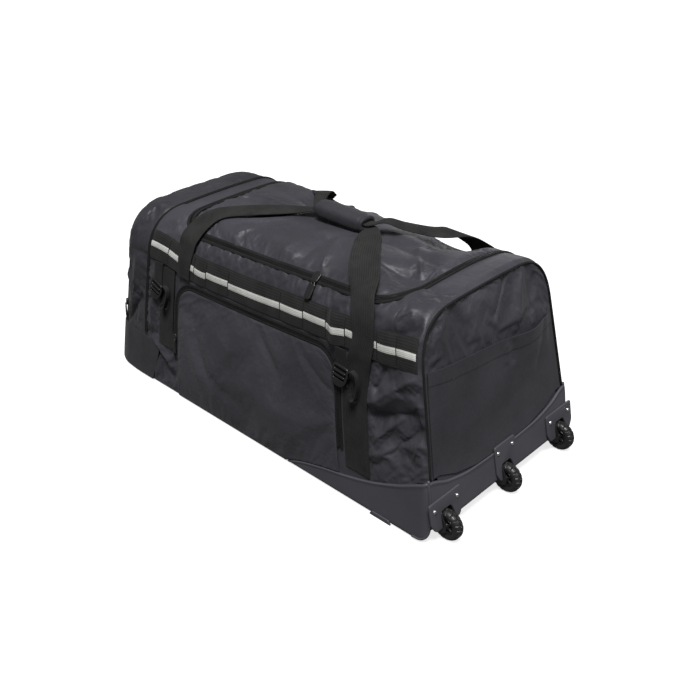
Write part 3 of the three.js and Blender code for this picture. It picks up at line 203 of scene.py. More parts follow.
def section_normal(station, girth):
    step = 2.0
    along = (section(np.minimum(station + step, RIGHT), girth)
             - section(np.maximum(station - step, LEFT), girth))
    across = (section(station, np.minimum(girth + step, FULL_GIRTH))
              - section(station, np.maximum(girth - step, 0)))
    return unit(np.cross(along, across))


def ridge(station, girth, table):
    """Sum of a fold table's ridges, each fading out towards its ends."""
    height = np.zeros(np.broadcast(station, girth).shape)
    for i in range(len(table["height"])):
        start = np.array([table["station0"][i], table["girth0"][i]])
        run = np.array([table["station1"][i], table["girth1"][i]]) - start
        length = np.hypot(*run)
        way = run / length
        along = ((station - start[0]) * way[0] + (girth - start[1]) * way[1]) / length
        away = np.abs((girth - start[1]) * way[0] - (station - start[0]) * way[1]) / table["spread"][i]
        fade = ease((along + 0.12) / 0.3) * ease((1.12 - along) / 0.3)
        height = height + table["height"][i] * fade * np.exp(-away ** 1.6)
    return height


def relief(station, girth):
    """Broad dents and puffs of the cloth."""
    height = np.zeros(np.broadcast(station, girth).shape)
    for i in range(len(OVALS["height"])):
        a = (station - OVALS["station"][i]) / OVALS["along"][i]
        b = (girth - OVALS["girth"][i]) / OVALS["across"][i]
        height = height + OVALS["height"][i] * np.exp(-(a * a + b * b))
    return height


def surface(station, girth, lift=0.0, folded=0.0):
    """Points of the cloth's outer face, raised by lift; folded is the share of the folds to add."""
    station, girth = np.broadcast_arrays(np.asarray(station, float), np.asarray(girth, float))
    raise_by = lift + relief(station, girth)
    if np.any(folded):
        raise_by = raise_by + folded * ridge(station, girth, FOLDS)
    return section(station, girth) + section_normal(station, girth) * np.asarray(raise_by)[..., None]


def girth_at(station, z):
    """The girth at which a section's straight wall reaches a height."""
    foot, shoulder, height = (smooth_interp(station, SECTIONS["station"], SECTIONS[name])
                              for name in ("foot", "shoulder", "height"))
    keep = 1 - CORNER / np.hypot(shoulder - foot, height)
    return WALL_GIRTH * np.asarray(z, float) / (height * keep)


# Materials
WAVE_SCALE = 0.314
CLOTH_PERIOD = 0.0015


class Look:
    """A Principled material with its even values set, and the node set-ups that the finishes share."""

    def __init__(self, name, rough, specular=0.5, metallic=0.0, sheen=0.0):
        self.material = bpy.data.materials.new(name)
        self.material.use_nodes = True
        self.nodes = self.material.node_tree.nodes
        self.links = self.material.node_tree.links
        self.inputs = self.nodes["Principled BSDF"].inputs
        even = {"Roughness": rough, "Specular IOR Level": specular, "Metallic": metallic,
                "Sheen Weight": sheen, "Sheen Roughness": 0.5}
        for socket, value in even.items():
            self.inputs[socket].default_value = value
        coords = self.nodes.new("ShaderNodeTexCoord")
        self.place = coords.outputs["Object"]
        self.lay = coords.outputs["UV"]

    def add(self, kind, values, sources):
        """A node with its constants set and its sources linked, each by the socket's name."""
        node = self.nodes.new(kind)
        for socket, value in values.items():
            node.inputs[socket].default_value = value
        for socket, source in sources.items():
            self.links.new(source, node.inputs[socket])
        return node

    def noise(self, scale, detail, rough=0.55, stretch=(1, 1, 1)):
        spot = self.add("ShaderNodeMapping", {"Scale": stretch}, {"Vector": self.place})
        values = {"Scale": scale, "Detail": detail, "Roughness": rough}
        return self.add("ShaderNodeTexNoise", values, {"Vector": spot.outputs["Vector"]}).outputs["Fac"]

    def wave(self, direction, period):
        """Bands along one axis of the laid-out cloth, a period in metres apart."""
        values = {"Scale": WAVE_SCALE / period, "Distortion": 0.0}
        wave = self.add("ShaderNodeTexWave", values, {"Vector": self.lay})
        wave.bands_direction = direction
        return wave.outputs["Fac"]

    def combine(self, operation, *sources):
        node = self.nodes.new("ShaderNodeMath")
        node.operation = operation
        for socket, source in zip(node.inputs, sources):
            if isinstance(source, float):
                socket.default_value = source
            else:
                self.links.new(source, socket)
        return node.outputs[0]

    def ramp(self, factor, stops):
        """A ramp between two stops of (place, grey or colour)."""
        ramp = self.add("ShaderNodeValToRGB", {}, {"Fac": factor})
        for element, (place, colour) in zip(ramp.color_ramp.elements, stops):
            element.position = place
            element.color = (*colour, 1.0) if isinstance(colour, tuple) else (colour, colour, colour, 1.0)
        return ramp.outputs["Color"]

    def bump(self, height, strength, distance, under=None):
        sources = {"Height": height} if under is None else {"Height": height, "Normal": under}
        values = {"Strength": strength, "Distance": distance}
        return self.add("ShaderNodeBump", values, sources).outputs["Normal"]

    def feed(self, socket, source):
        self.links.new(source, self.inputs[socket])


def cloth_material(name, dark, light, rough_low, rough_high):
    """Coated cloth: a fine weave, a soft crumple and uneven sheen."""
    look = Look(name, 0.5, specular=0.20, sheen=0.03)
    broad = look.noise(scale=7.0, detail=4.0)
    tone = look.combine("MULTIPLY_ADD", look.noise(scale=160.0, detail=2.0), 0.25, broad)
    look.feed("Base Color", look.ramp(tone, [(0.35, dark), (0.85, light)]))
    look.feed("Roughness", look.ramp(broad, [(0.3, rough_low), (0.75, rough_high)]))
    weave = look.combine("MULTIPLY", look.wave("X", CLOTH_PERIOD), look.wave("Y", CLOTH_PERIOD))
    crumple = look.noise(scale=24.0, detail=4.0, rough=0.6)
    under = look.bump(crumple, strength=0.3, distance=0.006)
    look.feed("Normal", look.bump(weave, strength=0.2, distance=0.0004, under=under))
    return look.material


def webbing_material(name, dark, light, period, rough):
    """Woven webbing: ribs across the strap and slimmer ones along it."""
    look = Look(name, rough, specular=0.06, sheen=0.03)
    weave = look.combine("MULTIPLY", look.wave("Y", period), look.wave("X", period * 1.8))
    tone = look.combine("MULTIPLY_ADD", weave, 0.5, look.noise(scale=30.0, detail=3.0))
    look.feed("Base Color", look.ramp(tone, [(0.3, dark), (0.95, light)]))
    look.feed("Normal", look.bump(weave, strength=0.5, distance=0.0007))
    return look.material


def moulded_material(name, dark, light, rough_low, rough_high, grain=700.0, depth=0.0003, specular=0.22):
    """Moulded plastic or rubber: a fine grain with slight unevenness."""
    look = Look(name, 0.5, specular=specular)
    broad = look.noise(scale=9.0, detail=4.0)
    look.feed("Base Color", look.ramp(broad, [(0.3, dark), (0.75, light)]))
    look.feed("Roughness", look.ramp(broad, [(0.3, rough_low), (0.75, rough_high)]))
    speckle = look.noise(scale=grain, detail=2.0)
    look.feed("Normal", look.bump(speckle, strength=0.25, distance=depth))
    return look.material


def steel_material(name):
    """Bright steel, brushed along its height."""
    look = Look(name, 0.25, metallic=1.0)
    brushed = look.noise(scale=300.0, detail=2.0, stretch=(1, 1, 8))
    look.feed("Base Color", look.ramp(brushed, [(0.3, 0.55), (0.7, 0.8)]))
    look.feed("Roughness", look.ramp(brushed, [(0.3, 0.2), (0.7, 0.36)]))
    return look.material


MATERIALS = {
    "cloth": cloth_material("coated_cloth", (0.017, 0.017, 0.0205), (0.034, 0.034, 0.041), 0.36, 0.50),
    # A darker, rougher cloth, used for the end pocket, the corner patch, the left gusset and the grip. The
    # end pocket's sleeve really is a duller cloth. On the left gusset, which is the walls' own cloth, the
    # darker colour is painted shade.
    "dull": cloth_material("dull_and_shaded_cloth", (0.014, 0.014, 0.017), (0.028, 0.028, 0.033), 0.44, 0.58),
    "webbing": webbing_material("webbing", (0.008, 0.008, 0.008), (0.020, 0.020, 0.0195), 0.0022, 0.68),
    "tape": webbing_material("zip_tape", (0.005, 0.005, 0.005), (0.012, 0.012, 0.012), 0.0014, 0.7),
    "base": moulded_material("moulded_base", (0.040, 0.040, 0.047), (0.050, 0.050, 0.058), 0.34, 0.46),
    "plastic": moulded_material("black_plastic", (0.007, 0.007, 0.0075), (0.013, 0.013, 0.0138), 0.26, 0.38,
                                specular=0.45),
    "tyre": moulded_material("tyre_rubber", (0.009, 0.009, 0.0095), (0.020, 0.020, 0.021), 0.34, 0.50,
                             420.0, 0.0006, 0.4),
    "reflective": webbing_material("reflective_tape", (0.27, 0.27, 0.26), (0.45, 0.45, 0.43), 0.0012, 0.5),
    "steel": steel_material("bright_steel"),
}


# Meshes
def make(name, points, faces, finish, replaces=(), body=BODY, uv=None, smooth=True):
    """A named piece of the given finish that rides on a body and stands for CAD nodes."""
    points = np.asarray(points, float).reshape(-1, 3)
    mesh = bpy.data.meshes.new(name)
    mesh.from_pydata((points * MM).tolist(), [], [tuple(map(int, face)) for face in faces])
    mesh.validate()
    if uv is not None:
        layer = mesh.uv_layers.new(name="lay")
        corners = np.zeros(len(mesh.loops), np.int32)
        mesh.loops.foreach_get("vertex_index", corners)
        flat = np.asarray(uv, float).reshape(-1, 2) * MM
        layer.data.foreach_set("uv", flat[corners].astype(np.float32).ravel())
    if smooth:
        mesh.shade_smooth()
    mesh.materials.append(MATERIALS[finish])
    piece = bpy.data.objects.new(name, mesh)
    bpy.context.scene.collection.objects.link(piece)
    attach(piece, body)
    if replaces:
        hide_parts(*replaces)
    return piece


def grid_faces(rows, cols, start=0, flip=False):
    j, i = np.meshgrid(np.arange(rows - 1), np.arange(cols - 1), indexing="ij")
    a = start + j * cols + i
    quads = np.stack([a, a + 1, a + cols + 1, a + cols], -1).reshape(-1, 4)
    return quads[:, ::-1] if flip else quads


def shell_faces(rows, cols):
    """Faces of two grids, outer then inner, joined round their border."""
    half = rows * cols
    outer = grid_faces(rows, cols)
    inner = grid_faces(rows, cols, half, flip=True)
    border = np.concatenate([
        np.arange(cols), np.arange(1, rows) * cols + cols - 1,
        (rows - 1) * cols + np.arange(cols - 2, -1, -1), np.arange(rows - 2, 0, -1) * cols,
    ])
    after = np.roll(border, -1)
    rim = np.stack([after, border, border + half, after + half], -1)
    return np.concatenate([outer, inner, rim])


def shell(name, outer, inner, finish, replaces, uv):
    """A closed sheet from an outer and an inner grid of points."""
    points = np.concatenate([outer.reshape(-1, 3), inner.reshape(-1, 3)])
    flat = uv.reshape(-1, 2)
    faces = shell_faces(*outer.shape[:2])
    piece = make(name, points, faces, finish, replaces, uv=np.concatenate([flat, flat]))
    piece.data.set_sharp_from_angle(angle=math.radians(50))
    return piece


def ring_faces(rows, sides):
    """Indices of rings of points, and the faces between the rings."""
    index = np.arange(rows * sides).reshape(rows, sides)
    after = np.roll(index, -1, axis=1)
    return index, np.stack([index[:-1], after[:-1], after[1:], index[1:]], -1).reshape(-1, 4)


def capped_faces(rows, sides):
    """Faces of rings of points that are closed at both ends."""
    index, skin = ring_faces(rows, sides)
    return skin.tolist() + [index[0][::-1].tolist(), index[-1].tolist()]


def loop_faces(rows, cols):
    """Faces of a grid that closes both ways."""
    index = np.arange(rows * cols).reshape(rows, cols)
    after = np.roll(index, -1, axis=0)
    around = [index, after, np.roll(after, -1, axis=1), np.roll(index, -1, axis=1)]
    return np.stack(around, -1).reshape(-1, 4)


def placed(place, local):
    """Points given along three axes from an origin."""
    origin, axes = place
    return np.asarray(origin, float) + local.reshape(-1, 3) @ np.asarray(axes, float)


def grid_normals(grid):
    return unit(np.cross(np.gradient(grid, axis=1), np.gradient(grid, axis=0)))


def refine(grid):
    """Doubles a grid's rows and columns along smooth curves."""
    for axis in (0, 1):
        lines = np.moveaxis(grid, axis, 0)
        padded = np.concatenate([2 * lines[:1] - lines[1:2], lines, 2 * lines[-1:] - lines[-2:-1]])
        doubled = np.empty((2 * len(lines) - 1,) + lines.shape[1:])
        doubled[0::2] = lines
        doubled[1::2] = (9 * (padded[1:-2] + padded[2:-1]) - padded[:-3] - padded[3:]) / 16
        grid = np.moveaxis(doubled, 0, axis)
    return grid


def border(grid):
    """A mask of a grid's outer cells."""
    mask = np.ones(grid.shape[:2], bool)
    mask[1:-1, 1:-1] = False
    return mask


# Cloth: how it bends, how far each panel may move, and the ease of its cut
SETTLE_FRAMES = 16
MOST_ASIDE = 6.0
CLOTH_SETTINGS = {
    "quality": 5, "mass": 0.1, "tension_stiffness": 12, "compression_stiffness": 12, "shear_stiffness": 6,
    "bending_stiffness": 0.15, "air_damping": 2, "vertex_group_mass": "pin",
}
SETTLE = {
    "front_wall": {"slack": 0.03, "inward": 7.0, "outward": 5.0},
    "left_gusset_cloth": {"slack": 0.025, "inward": 5.0, "outward": 4.0},
    "lid_cloth": {"slack": 0.03, "inward": 8.0, "outward": 4.0},
    "right_end_cloth": {"slack": 0.025, "inward": 5.0, "outward": 4.0},
    "left_end_cloth": {"slack": 0.02, "inward": 5.0, "outward": 3.0},
    "front_pocket_cloth": {"slack": 0.006, "inward": 4.0, "outward": 3.0},
}


def settle(grid, pinned, slack, inward, outward):
    """Blender's cloth on a grid held at pinned points and grown by its slack, with its moves capped."""
    rows, cols = grid.shape[:2]
    mesh = bpy.data.meshes.new("settling")
    mesh.from_pydata((grid.reshape(-1, 3) * MM).tolist(), [], grid_faces(rows, cols).tolist())
    piece = bpy.data.objects.new("settling", mesh)
    scene = bpy.context.scene
    scene.collection.objects.link(piece)
    piece.vertex_groups.new(name="pin").add(np.flatnonzero(pinned).tolist(), 1.0, "REPLACE")
    modifier = piece.modifiers.new("cloth", "CLOTH")
    for name, value in CLOTH_SETTINGS.items():
        setattr(modifier.settings, name, value)
    modifier.settings.shrink_min = -slack
    modifier.settings.effector_weights.gravity = 0
    modifier.collision_settings.use_collision = False
    modifier.collision_settings.use_self_collision = False
    modifier.point_cache.frame_start = 1
    modifier.point_cache.frame_end = SETTLE_FRAMES
    for frame_number in range(1, SETTLE_FRAMES + 1):
        scene.frame_set(frame_number)
    evaluated = piece.evaluated_get(bpy.context.evaluated_depsgraph_get())
    rest = np.empty(rows * cols * 3, np.float32)
    evaluated.data.vertices.foreach_get("co", rest)
    bpy.data.objects.remove(piece)
    bpy.data.meshes.remove(mesh)
    scene.frame_set(1)
    move = rest.reshape(grid.shape).astype(float) / MM - grid
    normals = grid_normals(grid)
    along = (move * normals).sum(-1, keepdims=True)
    aside = move - along * normals
    far = np.maximum(np.linalg.norm(aside, axis=-1, keepdims=True), 1e-6)
    aside = aside * np.minimum(1, MOST_ASIDE / far)
    return grid + aside + normals * np.clip(along, -inward, outward)


def cloth_sheet(name, node, grid, uv, finish="cloth", pins=None):
    """A node's closed sheet inside a grid of outer points, settled where it has a row, with its cut."""
    if name in SETTLE:
        grid = settle(grid, border(grid) if pins is None else pins, **SETTLE[name])
    fine = refine(grid)
    piece = shell(name, fine, fine - grid_normals(fine) * CLOTH, finish, (node,), refine(uv))


def wall_cloth(name, node, station, girth, lift=0.0, folded=0.0, finish="cloth", pins=None):
    """A cloth sheet that follows the bag's walls."""
    grid = surface(station, girth, lift, folded)
    cloth_sheet(name, node, grid, np.stack([station, girth], -1), finish, pins)


def catmull(points, count):
    """A centripetal Catmull-Rom curve through points, sampled evenly between them."""
    points = np.asarray(points, float)
    padded = np.concatenate([[2 * points[0] - points[1]], points, [2 * points[-1] - points[-2]]])
    last = len(points) - 1
    at = np.linspace(0, last, count)
    i = np.minimum(at.astype(int), last - 1)
    w = (at - i)[:, None]
    p = [padded[i + k] for k in range(4)]
    gaps = [np.maximum(np.linalg.norm(p[k + 1] - p[k], axis=1, keepdims=True) ** 0.5, 1e-4)
            for k in range(3)]
    t1 = (p[1] - p[0]) / gaps[0] - (p[2] - p[0]) / (gaps[0] + gaps[1]) + (p[2] - p[1]) / gaps[1]
    t2 = (p[2] - p[1]) / gaps[1] - (p[3] - p[1]) / (gaps[1] + gaps[2]) + (p[3] - p[2]) / gaps[2]
    t1 = t1 * gaps[1]
    t2 = t2 * gaps[1]
    a = 2 * p[1] - 2 * p[2] + t1 + t2
    b = -3 * p[1] + 3 * p[2] - 2 * t1 - t2
    return a * w ** 3 + b * w ** 2 + t1 * w + p[1]


def run_length(points):
    """Distance along a line of points, from its start."""
    return np.concatenate([[0], np.cumsum(np.linalg.norm(np.diff(points, axis=0), axis=1))])


def strip(name, path, profile, finish, replaces=()):
    """A closed strip along (station, girth, lift) rows with a profile of (off, top, under) rows."""
    way = unit(np.gradient(path[:, :2], axis=0))
    off, top, under = np.asarray(profile, float).T
    station = path[:, :1] - way[:, 1:2] * off
    girth = path[:, 1:2] + way[:, :1] * off
    outer = surface(station, girth, path[:, 2:3] + top)
    inner = surface(station, girth, path[:, 2:3] + under)
    along = run_length(path[:, :2])[:, None] + 0 * off
    return shell(name, outer, inner, finish, replaces, np.stack([off + 0 * along, along], -1))


def tube(name, points, radius, finish, replaces=()):
    """A round tube with closed ends along a line of points."""
    sides = 10
    way = unit(np.gradient(points, axis=0))
    side = unit(np.cross(way, np.array([0.31, 0.17, 0.94])))
    lift = np.cross(side, way)
    angle = np.linspace(0, 2 * np.pi, sides, endpoint=False)
    turn = side[:, None] * np.cos(angle)[:, None] + lift[:, None] * np.sin(angle)[:, None]
    along = run_length(points)[:, None] + 0 * angle
    uv = np.stack([angle * radius + 0 * along, along], -1)
    faces = capped_faces(len(points), sides)
    return make(name, points[:, None] + turn * radius, faces, finish, replaces, uv=uv)


def ribbon(name, rows, replaces, count=240, cup=0.0):
    """Webbing along rows of (centre, sideways direction, half width)."""
    centre = catmull([row[0] for row in rows], count)
    side = unit(catmull([row[1] for row in rows], count))
    half = np.interp(np.linspace(0, len(rows) - 1, count), np.arange(len(rows)), [row[2] for row in rows])
    normal = unit(np.cross(unit(np.gradient(centre, axis=0)), side))
    across = np.array([-1, -0.94, -0.6, -0.25, 0.25, 0.6, 0.94, 1])
    edge = np.array([0.55, 1, 1, 1, 1, 1, 1, 0.55])
    middle = centre[:, None] + side[:, None] * (across[:, None] * half[:, None, None])
    middle = middle + normal[:, None] * (cup * (1 - across[:, None] ** 2))
    rise = normal[:, None] * (edge[:, None] * WEBBING / 2)
    along = run_length(centre)[:, None] + 0 * across
    uv = np.stack([across * half[:, None], along], -1)
    return shell(name, middle + rise, middle - rise, "webbing", replaces, uv)


def round_corners(points, radius, steps=5):
    """A closed outline with each corner cut by a quadratic curve that starts a radius away."""
    points = np.asarray(points, float)
    out = []
    for i, corner in enumerate(points):
        before = points[i - 1] - corner
        after = points[(i + 1) % len(points)] - corner
        start = corner + before * min(0.5, radius / np.linalg.norm(before))
        end = corner + after * min(0.5, radius / np.linalg.norm(after))
        for t in np.linspace(0, 1, steps):
            out.append(start * (1 - t) ** 2 + corner * 2 * t * (1 - t) + end * t * t)
    return np.array(out)


def circle(radius, count=32, middle=(0.0, 0.0)):
    angle = np.linspace(0, 2 * math.pi, count, endpoint=False)
    return np.column_stack([middle[0] + radius * np.cos(angle), middle[1] + radius * np.sin(angle)])


def plate(name, loops, thickness, bevel, place, finish, replaces=(), body=BODY):
    """A flat bevelled solid from an outline and its holes; place gives its origin and three axes."""
    curve = bpy.data.curves.new(name, "CURVE")
    curve.dimensions = "2D"
    curve.fill_mode = "BOTH"
    curve.extrude = thickness / 2 - bevel
    curve.bevel_depth = bevel
    curve.bevel_resolution = 2
    curve.offset = -bevel
    for loop in loops:
        spline = curve.splines.new("POLY")
        spline.points.add(len(loop) - 1)
        rows = np.column_stack([loop, np.zeros(len(loop)), np.ones(len(loop))])
        spline.points.foreach_set("co", rows.astype(np.float32).ravel())
        spline.use_cyclic_u = True
    holder = bpy.data.objects.new(name, curve)
    bpy.context.scene.collection.objects.link(holder)
    flat = bpy.data.meshes.new_from_object(holder.evaluated_get(bpy.context.evaluated_depsgraph_get()))
    local = np.array([vertex.co[:] for vertex in flat.vertices])
    faces = [tuple(polygon.vertices) for polygon in flat.polygons]
    bpy.data.objects.remove(holder)
    bpy.data.curves.remove(curve)
    bpy.data.meshes.remove(flat)
    piece = make(name, placed(place, local), faces, finish, replaces, body)
    weld(piece)


def weld(piece):
    """Joins the meeting points of a piece and sharpens its creases."""
    work = bmesh.new()
    work.from_mesh(piece.data)
    bmesh.ops.remove_doubles(work, verts=work.verts, dist=1e-6)
    bmesh.ops.recalc_face_normals(work, faces=work.faces)
    work.to_mesh(piece.data)
    work.free()
    piece.data.shade_smooth()
    piece.data.set_sharp_from_angle(angle=math.radians(40))


def lathe(name, profile, place, finish, replaces, sides=24):
    """A turned solid from (radius, height) rows, turned about the third axis of its place."""
    radius, height = np.array(profile, float).T[:, :, None]
    angle = np.linspace(0, 2 * math.pi, sides, endpoint=False)
    local = np.stack([radius * np.cos(angle), radius * np.sin(angle), height + 0 * angle], -1)
    weld(make(name, placed(place, local), capped_faces(len(profile), sides), finish, replaces))


def ring(name, profile, place, finish, body, sides=48):
    """A closed ring from a loop of (radius, height) rows."""
    radius, height = np.array(profile, float).T
    angle = np.linspace(0, 2 * math.pi, sides, endpoint=False)[:, None]
    local = np.stack([radius * np.cos(angle), radius * np.sin(angle), height + 0 * angle], -1)
    weld(make(name, placed(place, local), loop_faces(sides, len(profile)), finish, body=body))


# Camera, from lines of the photograph
CAMERA = {
    "azimuth": 43.075, "elevation": 31.03, "distance": 1.9248, "target": (0.054, 0.0, 0.1404), "lens": 48.29,
}


def place_camera():
    azimuth = math.radians(CAMERA["azimuth"])
    elevation = math.radians(CAMERA["elevation"])
    away = np.array([math.sin(azimuth) * math.cos(elevation), -math.cos(azimuth) * math.cos(elevation),
                     math.sin(elevation)])
    data = bpy.data.cameras.new("camera")
    data.sensor_width = 36.0
    data.lens = CAMERA["lens"]
    camera = bpy.data.objects.new("camera", data)
    camera.location = np.array(CAMERA["target"]) + away * CAMERA["distance"]
    camera.rotation_euler = (math.pi / 2 - elevation, 0.0, azimuth)
    bpy.context.scene.collection.objects.link(camera)
    bpy.context.scene.camera = camera


place_camera()

# Base: floor plate, end wall and tapering wings
WING_TOP = columns("station z", [
    (95, 4), (127, 19), (191, 37), (247, 49), (317, 68), (383, 93), (440, 119), (455, 125),
])
END_TOP = columns("y z", [(0, 92), (90, 95), (150, 106), (200, 124), (217, 125)])
BASE_WALL = 3.0
BASE_IN = 0.7
BASE_OUT = BASE_IN + BASE_WALL
FLOOR_TOP = BASE_WALL + BASE_IN
FLOOR_HALF = float(SECTIONS["foot"].max()) + BASE_OUT
FOOT_CORNER = 34.0
RIM_CORNER = 12.0
RIM_HEIGHT = 110.0
WING_SHARE = 0.36
UNDER_TURN = 9.0
UPTURN_START = 395.0
UPTURN_HEIGHT = 30.0
CORNER_ROUND = 43.0
RIM_LINE = columns("way z", [
    (0.003, 129.0), (0.003, 95.0), (0.003, 62.0), (0.001, 44.0),
    (-0.006, 23.0), (-0.016, 12.5), (-0.028, 8.0), (-0.045, 6.5),
])
RIM_RADIUS = 2.8
WHEEL_Y = (-179.0, 0.0, 179.0)
WELL_HALF = 14.0
WELL_WALL = 2.5
WELL_TOP = 64.0
AXLE_X = RIGHT
AXLE_Z = WHEEL_RADIUS
WELL_BACK = AXLE_X - WHEEL_RADIUS - 4 - WELL_WALL


def base_path(s):
    """Side, share along the wing and share across the end for a share s of the base's wall."""
    side = np.where(s < 0.5, -1.0, 1.0)
    way = np.where(s < 0.5, s, 1 - s)
    return side, np.clip(way / WING_SHARE, 0, 1), np.clip((way - WING_SHARE) / (0.5 - WING_SHARE), 0, 1)


def base_top(s):
    _, along, across = base_path(s)
    wing = smooth_interp(mix(WING_TOP["station"][0], RIGHT, along), WING_TOP["station"], WING_TOP["z"])
    reach = (1 - across) * abs(section(RIGHT, 100.0)[1])
    end = smooth_interp(reach, END_TOP["y"], END_TOP["z"])
    return np.where(across == 0, wing, end)


def base_foot(s):
    """The lower edge curves up round each corner to the end wall's raised edge."""
    _, along, _ = base_path(s)
    run = mix(WING_TOP["station"][0], RIGHT, along)
    share = np.clip((run - RIGHT + CORNER_ROUND) / CORNER_ROUND, 0, 1)
    return UPTURN_HEIGHT * (1 - np.sqrt(1 - share * share))


def base_point(s, z, lift):
    side, along, across = base_path(s)
    girth = girth_at(RIGHT, z)
    turn_in = mix(FOOT_CORNER, RIM_CORNER, np.clip(z / RIM_HEIGHT, 0, 1))
    under = np.clip(1 - (z - base_foot(s)) / UNDER_TURN, 0, 1)
    lift = lift - UNDER_TURN * (1 - np.sqrt(1 - under * under))
    width = np.abs(section(350.0, girth)[..., 1]) + lift
    end = x_at(RIGHT, z) + lift
    run = mix(WING_TOP["station"][0], end, along)
    turn = np.clip((run - (end - turn_in)) / turn_in, 0, 1) * math.pi / 4
    wing_x = np.where(turn > 0, end - turn_in + turn_in * np.sin(turn), run)
    wing_y = width - turn_in * (1 - np.cos(turn))
    reach = (1 - across) * width
    back = np.clip((reach - (width - turn_in)) / turn_in, 0, 1) * math.pi / 4
    end_y = np.where(back > 0, width - turn_in + turn_in * np.sin(back), reach)
    end_x = end - turn_in * (1 - np.cos(back))
    on_wing = across == 0
    return np.stack([np.where(on_wing, wing_x, end_x), side * np.where(on_wing, wing_y, end_y),
                     z + 0 * s], -1)


def build_base():
    """The moulded wall of the wings and the wheel end, open where the wheels' wells are."""
    wing_way = np.concatenate([np.linspace(0, 0.82, 60), np.linspace(0.83, 1, 26)]) * WING_SHARE
    end_share = np.concatenate([np.linspace(0.01, 0.16, 18), np.linspace(0.17, 1, 70)])
    first = np.concatenate([wing_way, WING_SHARE + end_share * (0.5 - WING_SHARE)])
    s = np.concatenate([first, 1 - first[-2::-1]])[None, :]
    foot_rows = [0, 0.02, 0.045, 0.075, 0.11]
    t = np.concatenate([foot_rows, np.linspace(0.15, 0.94, 18), [0.965, 0.985, 1]])[:, None]
    top = base_top(s)
    z = mix(base_foot(s), top, t)
    lip = 0.9 * ease((z - (top - 5.0)) / 2.0) * ease((top - z) / 1.2 + 0.15)
    outer = base_point(s, z, BASE_OUT + lip)
    inner = base_point(s, z, BASE_IN + 0 * z)
    rows, cols = outer.shape[:2]
    faces = shell_faces(rows, cols)
    points = np.concatenate([outer.reshape(-1, 3), inner.reshape(-1, 3)])
    middle = points[faces].mean(1)
    keep = np.ones(len(faces), bool)
    for y in WHEEL_Y:
        inside = (np.abs(middle[:, 1] - y) < WELL_HALF + WELL_WALL) & (middle[:, 2] < WELL_TOP + WELL_WALL)
        keep &= ~(inside & (middle[:, 0] > AXLE_X - 60))
    uv = np.stack([run_length(outer[0])[None, :] + 0 * z, z + 0 * s], -1).reshape(-1, 2)
    make("base_wall", points, faces[keep], "base", ("base_tub",), uv=np.concatenate([uv, uv]))
    build_floor()
    build_rims()


def build_floor():
    """The floor plate with a rounded outline, and its slope up to the wheels."""
    width = FLOOR_HALF - UNDER_TURN + 2.5
    lower = []
    left_half = float(SECTIONS["foot"][0])
    for t in np.linspace(0, 1, 16):
        x = mix(LEFT, LEFT + 70, t * t) + 8 * t * (1 - t) + 12
        lower.append((x, -mix(left_half, FLOOR_HALF, 1 - (1 - t) ** 2.2) + 7))
    lower += [(60, 7 - FLOOR_HALF), (110, -width), (UPTURN_START, -width)]
    loop = np.array(lower + [(x, -y) for x, y in reversed(lower)])
    count = len(loop)
    levels = [(0.0, 0.994), (0.6, 0.998), (2.0, 1.0), (BASE_WALL, 0.9985)]
    points = np.concatenate([np.column_stack([loop * scale, np.full(count, z)]) for z, scale in levels])
    faces = [list(range(count))[::-1], list(range(3 * count, 4 * count))]
    for k in range(3):
        for i in range(count):
            j = (i + 1) % count
            faces.append([k * count + i, k * count + j, (k + 1) * count + j, (k + 1) * count + i])
    make("base_floor", points, faces, "base", smooth=False)
    edge = x_at(RIGHT, UPTURN_HEIGHT) + BASE_OUT - 5
    rise = np.array([edge - UPTURN_START, 0.0, UPTURN_HEIGHT])
    length = float(np.linalg.norm(rise))
    notch = (WELL_BACK - UPTURN_START) / (edge - UPTURN_START) * length
    half = WELL_HALF + WELL_WALL
    corner = [(width, 0), (width, length - 26), (width - 9, length - 8), (width - 26, length)]
    outline = list(corner)
    for y in reversed(WHEEL_Y):
        outline += [(y + half, length), (y + half, notch), (y - half, notch), (y - half, length)]
    outline += [(-y, along) for y, along in reversed(corner)]
    slope = rise / length
    axes = np.array([[0, 1, 0], slope, np.cross([0, 1, 0], slope)])
    middle = np.array([UPTURN_START, 0, 0]) + axes[2] * BASE_WALL / 2 * np.sign(axes[2][2])
    plate("base_slope", [np.array(outline)], BASE_WALL, 0.4, (middle, axes), "base")


def build_rims():
    """A rounded rim down each corner of the wheel end, from the piping to the underside."""
    share = np.linspace(0, 1, 60)
    knots = np.linspace(0, 1, len(RIM_LINE["z"]))
    way = RIM_LINE["way"] + WING_SHARE
    for name, mirrored in (("front", False), ("back", True)):
        s = smooth_interp(share, knots, way)
        z = smooth_interp(share, knots, RIM_LINE["z"])
        points = base_point(1 - s if mirrored else s, z, BASE_OUT - 0.6)
        tube(f"corner_rim_{name}", points, RIM_RADIUS, "base")


build_base()

# Places on the front wall that several pieces share
BAND_GIRTH = 325.0
BAND_HALF = 24.0
HANDLE_HALF = 29.0
FRONT_LEG = 289.0
POCKET_LEFT = -244.0
POCKET_RIGHT = 238.0
POCKET_TOP = 279.0
POCKET_CORNER = 46.0

ANCHOR_STATION = -287.0
LEFT_BUCKLE = -318.0
LEG_LEAN = {"shift": 31, "start": 215, "over": 110}
PINNED_STRAPS = [
    {"station": ANCHOR_STATION, "half": 25, "low": 112},
    {"station": LEFT_BUCKLE, "half": 15, "low": 225},
]

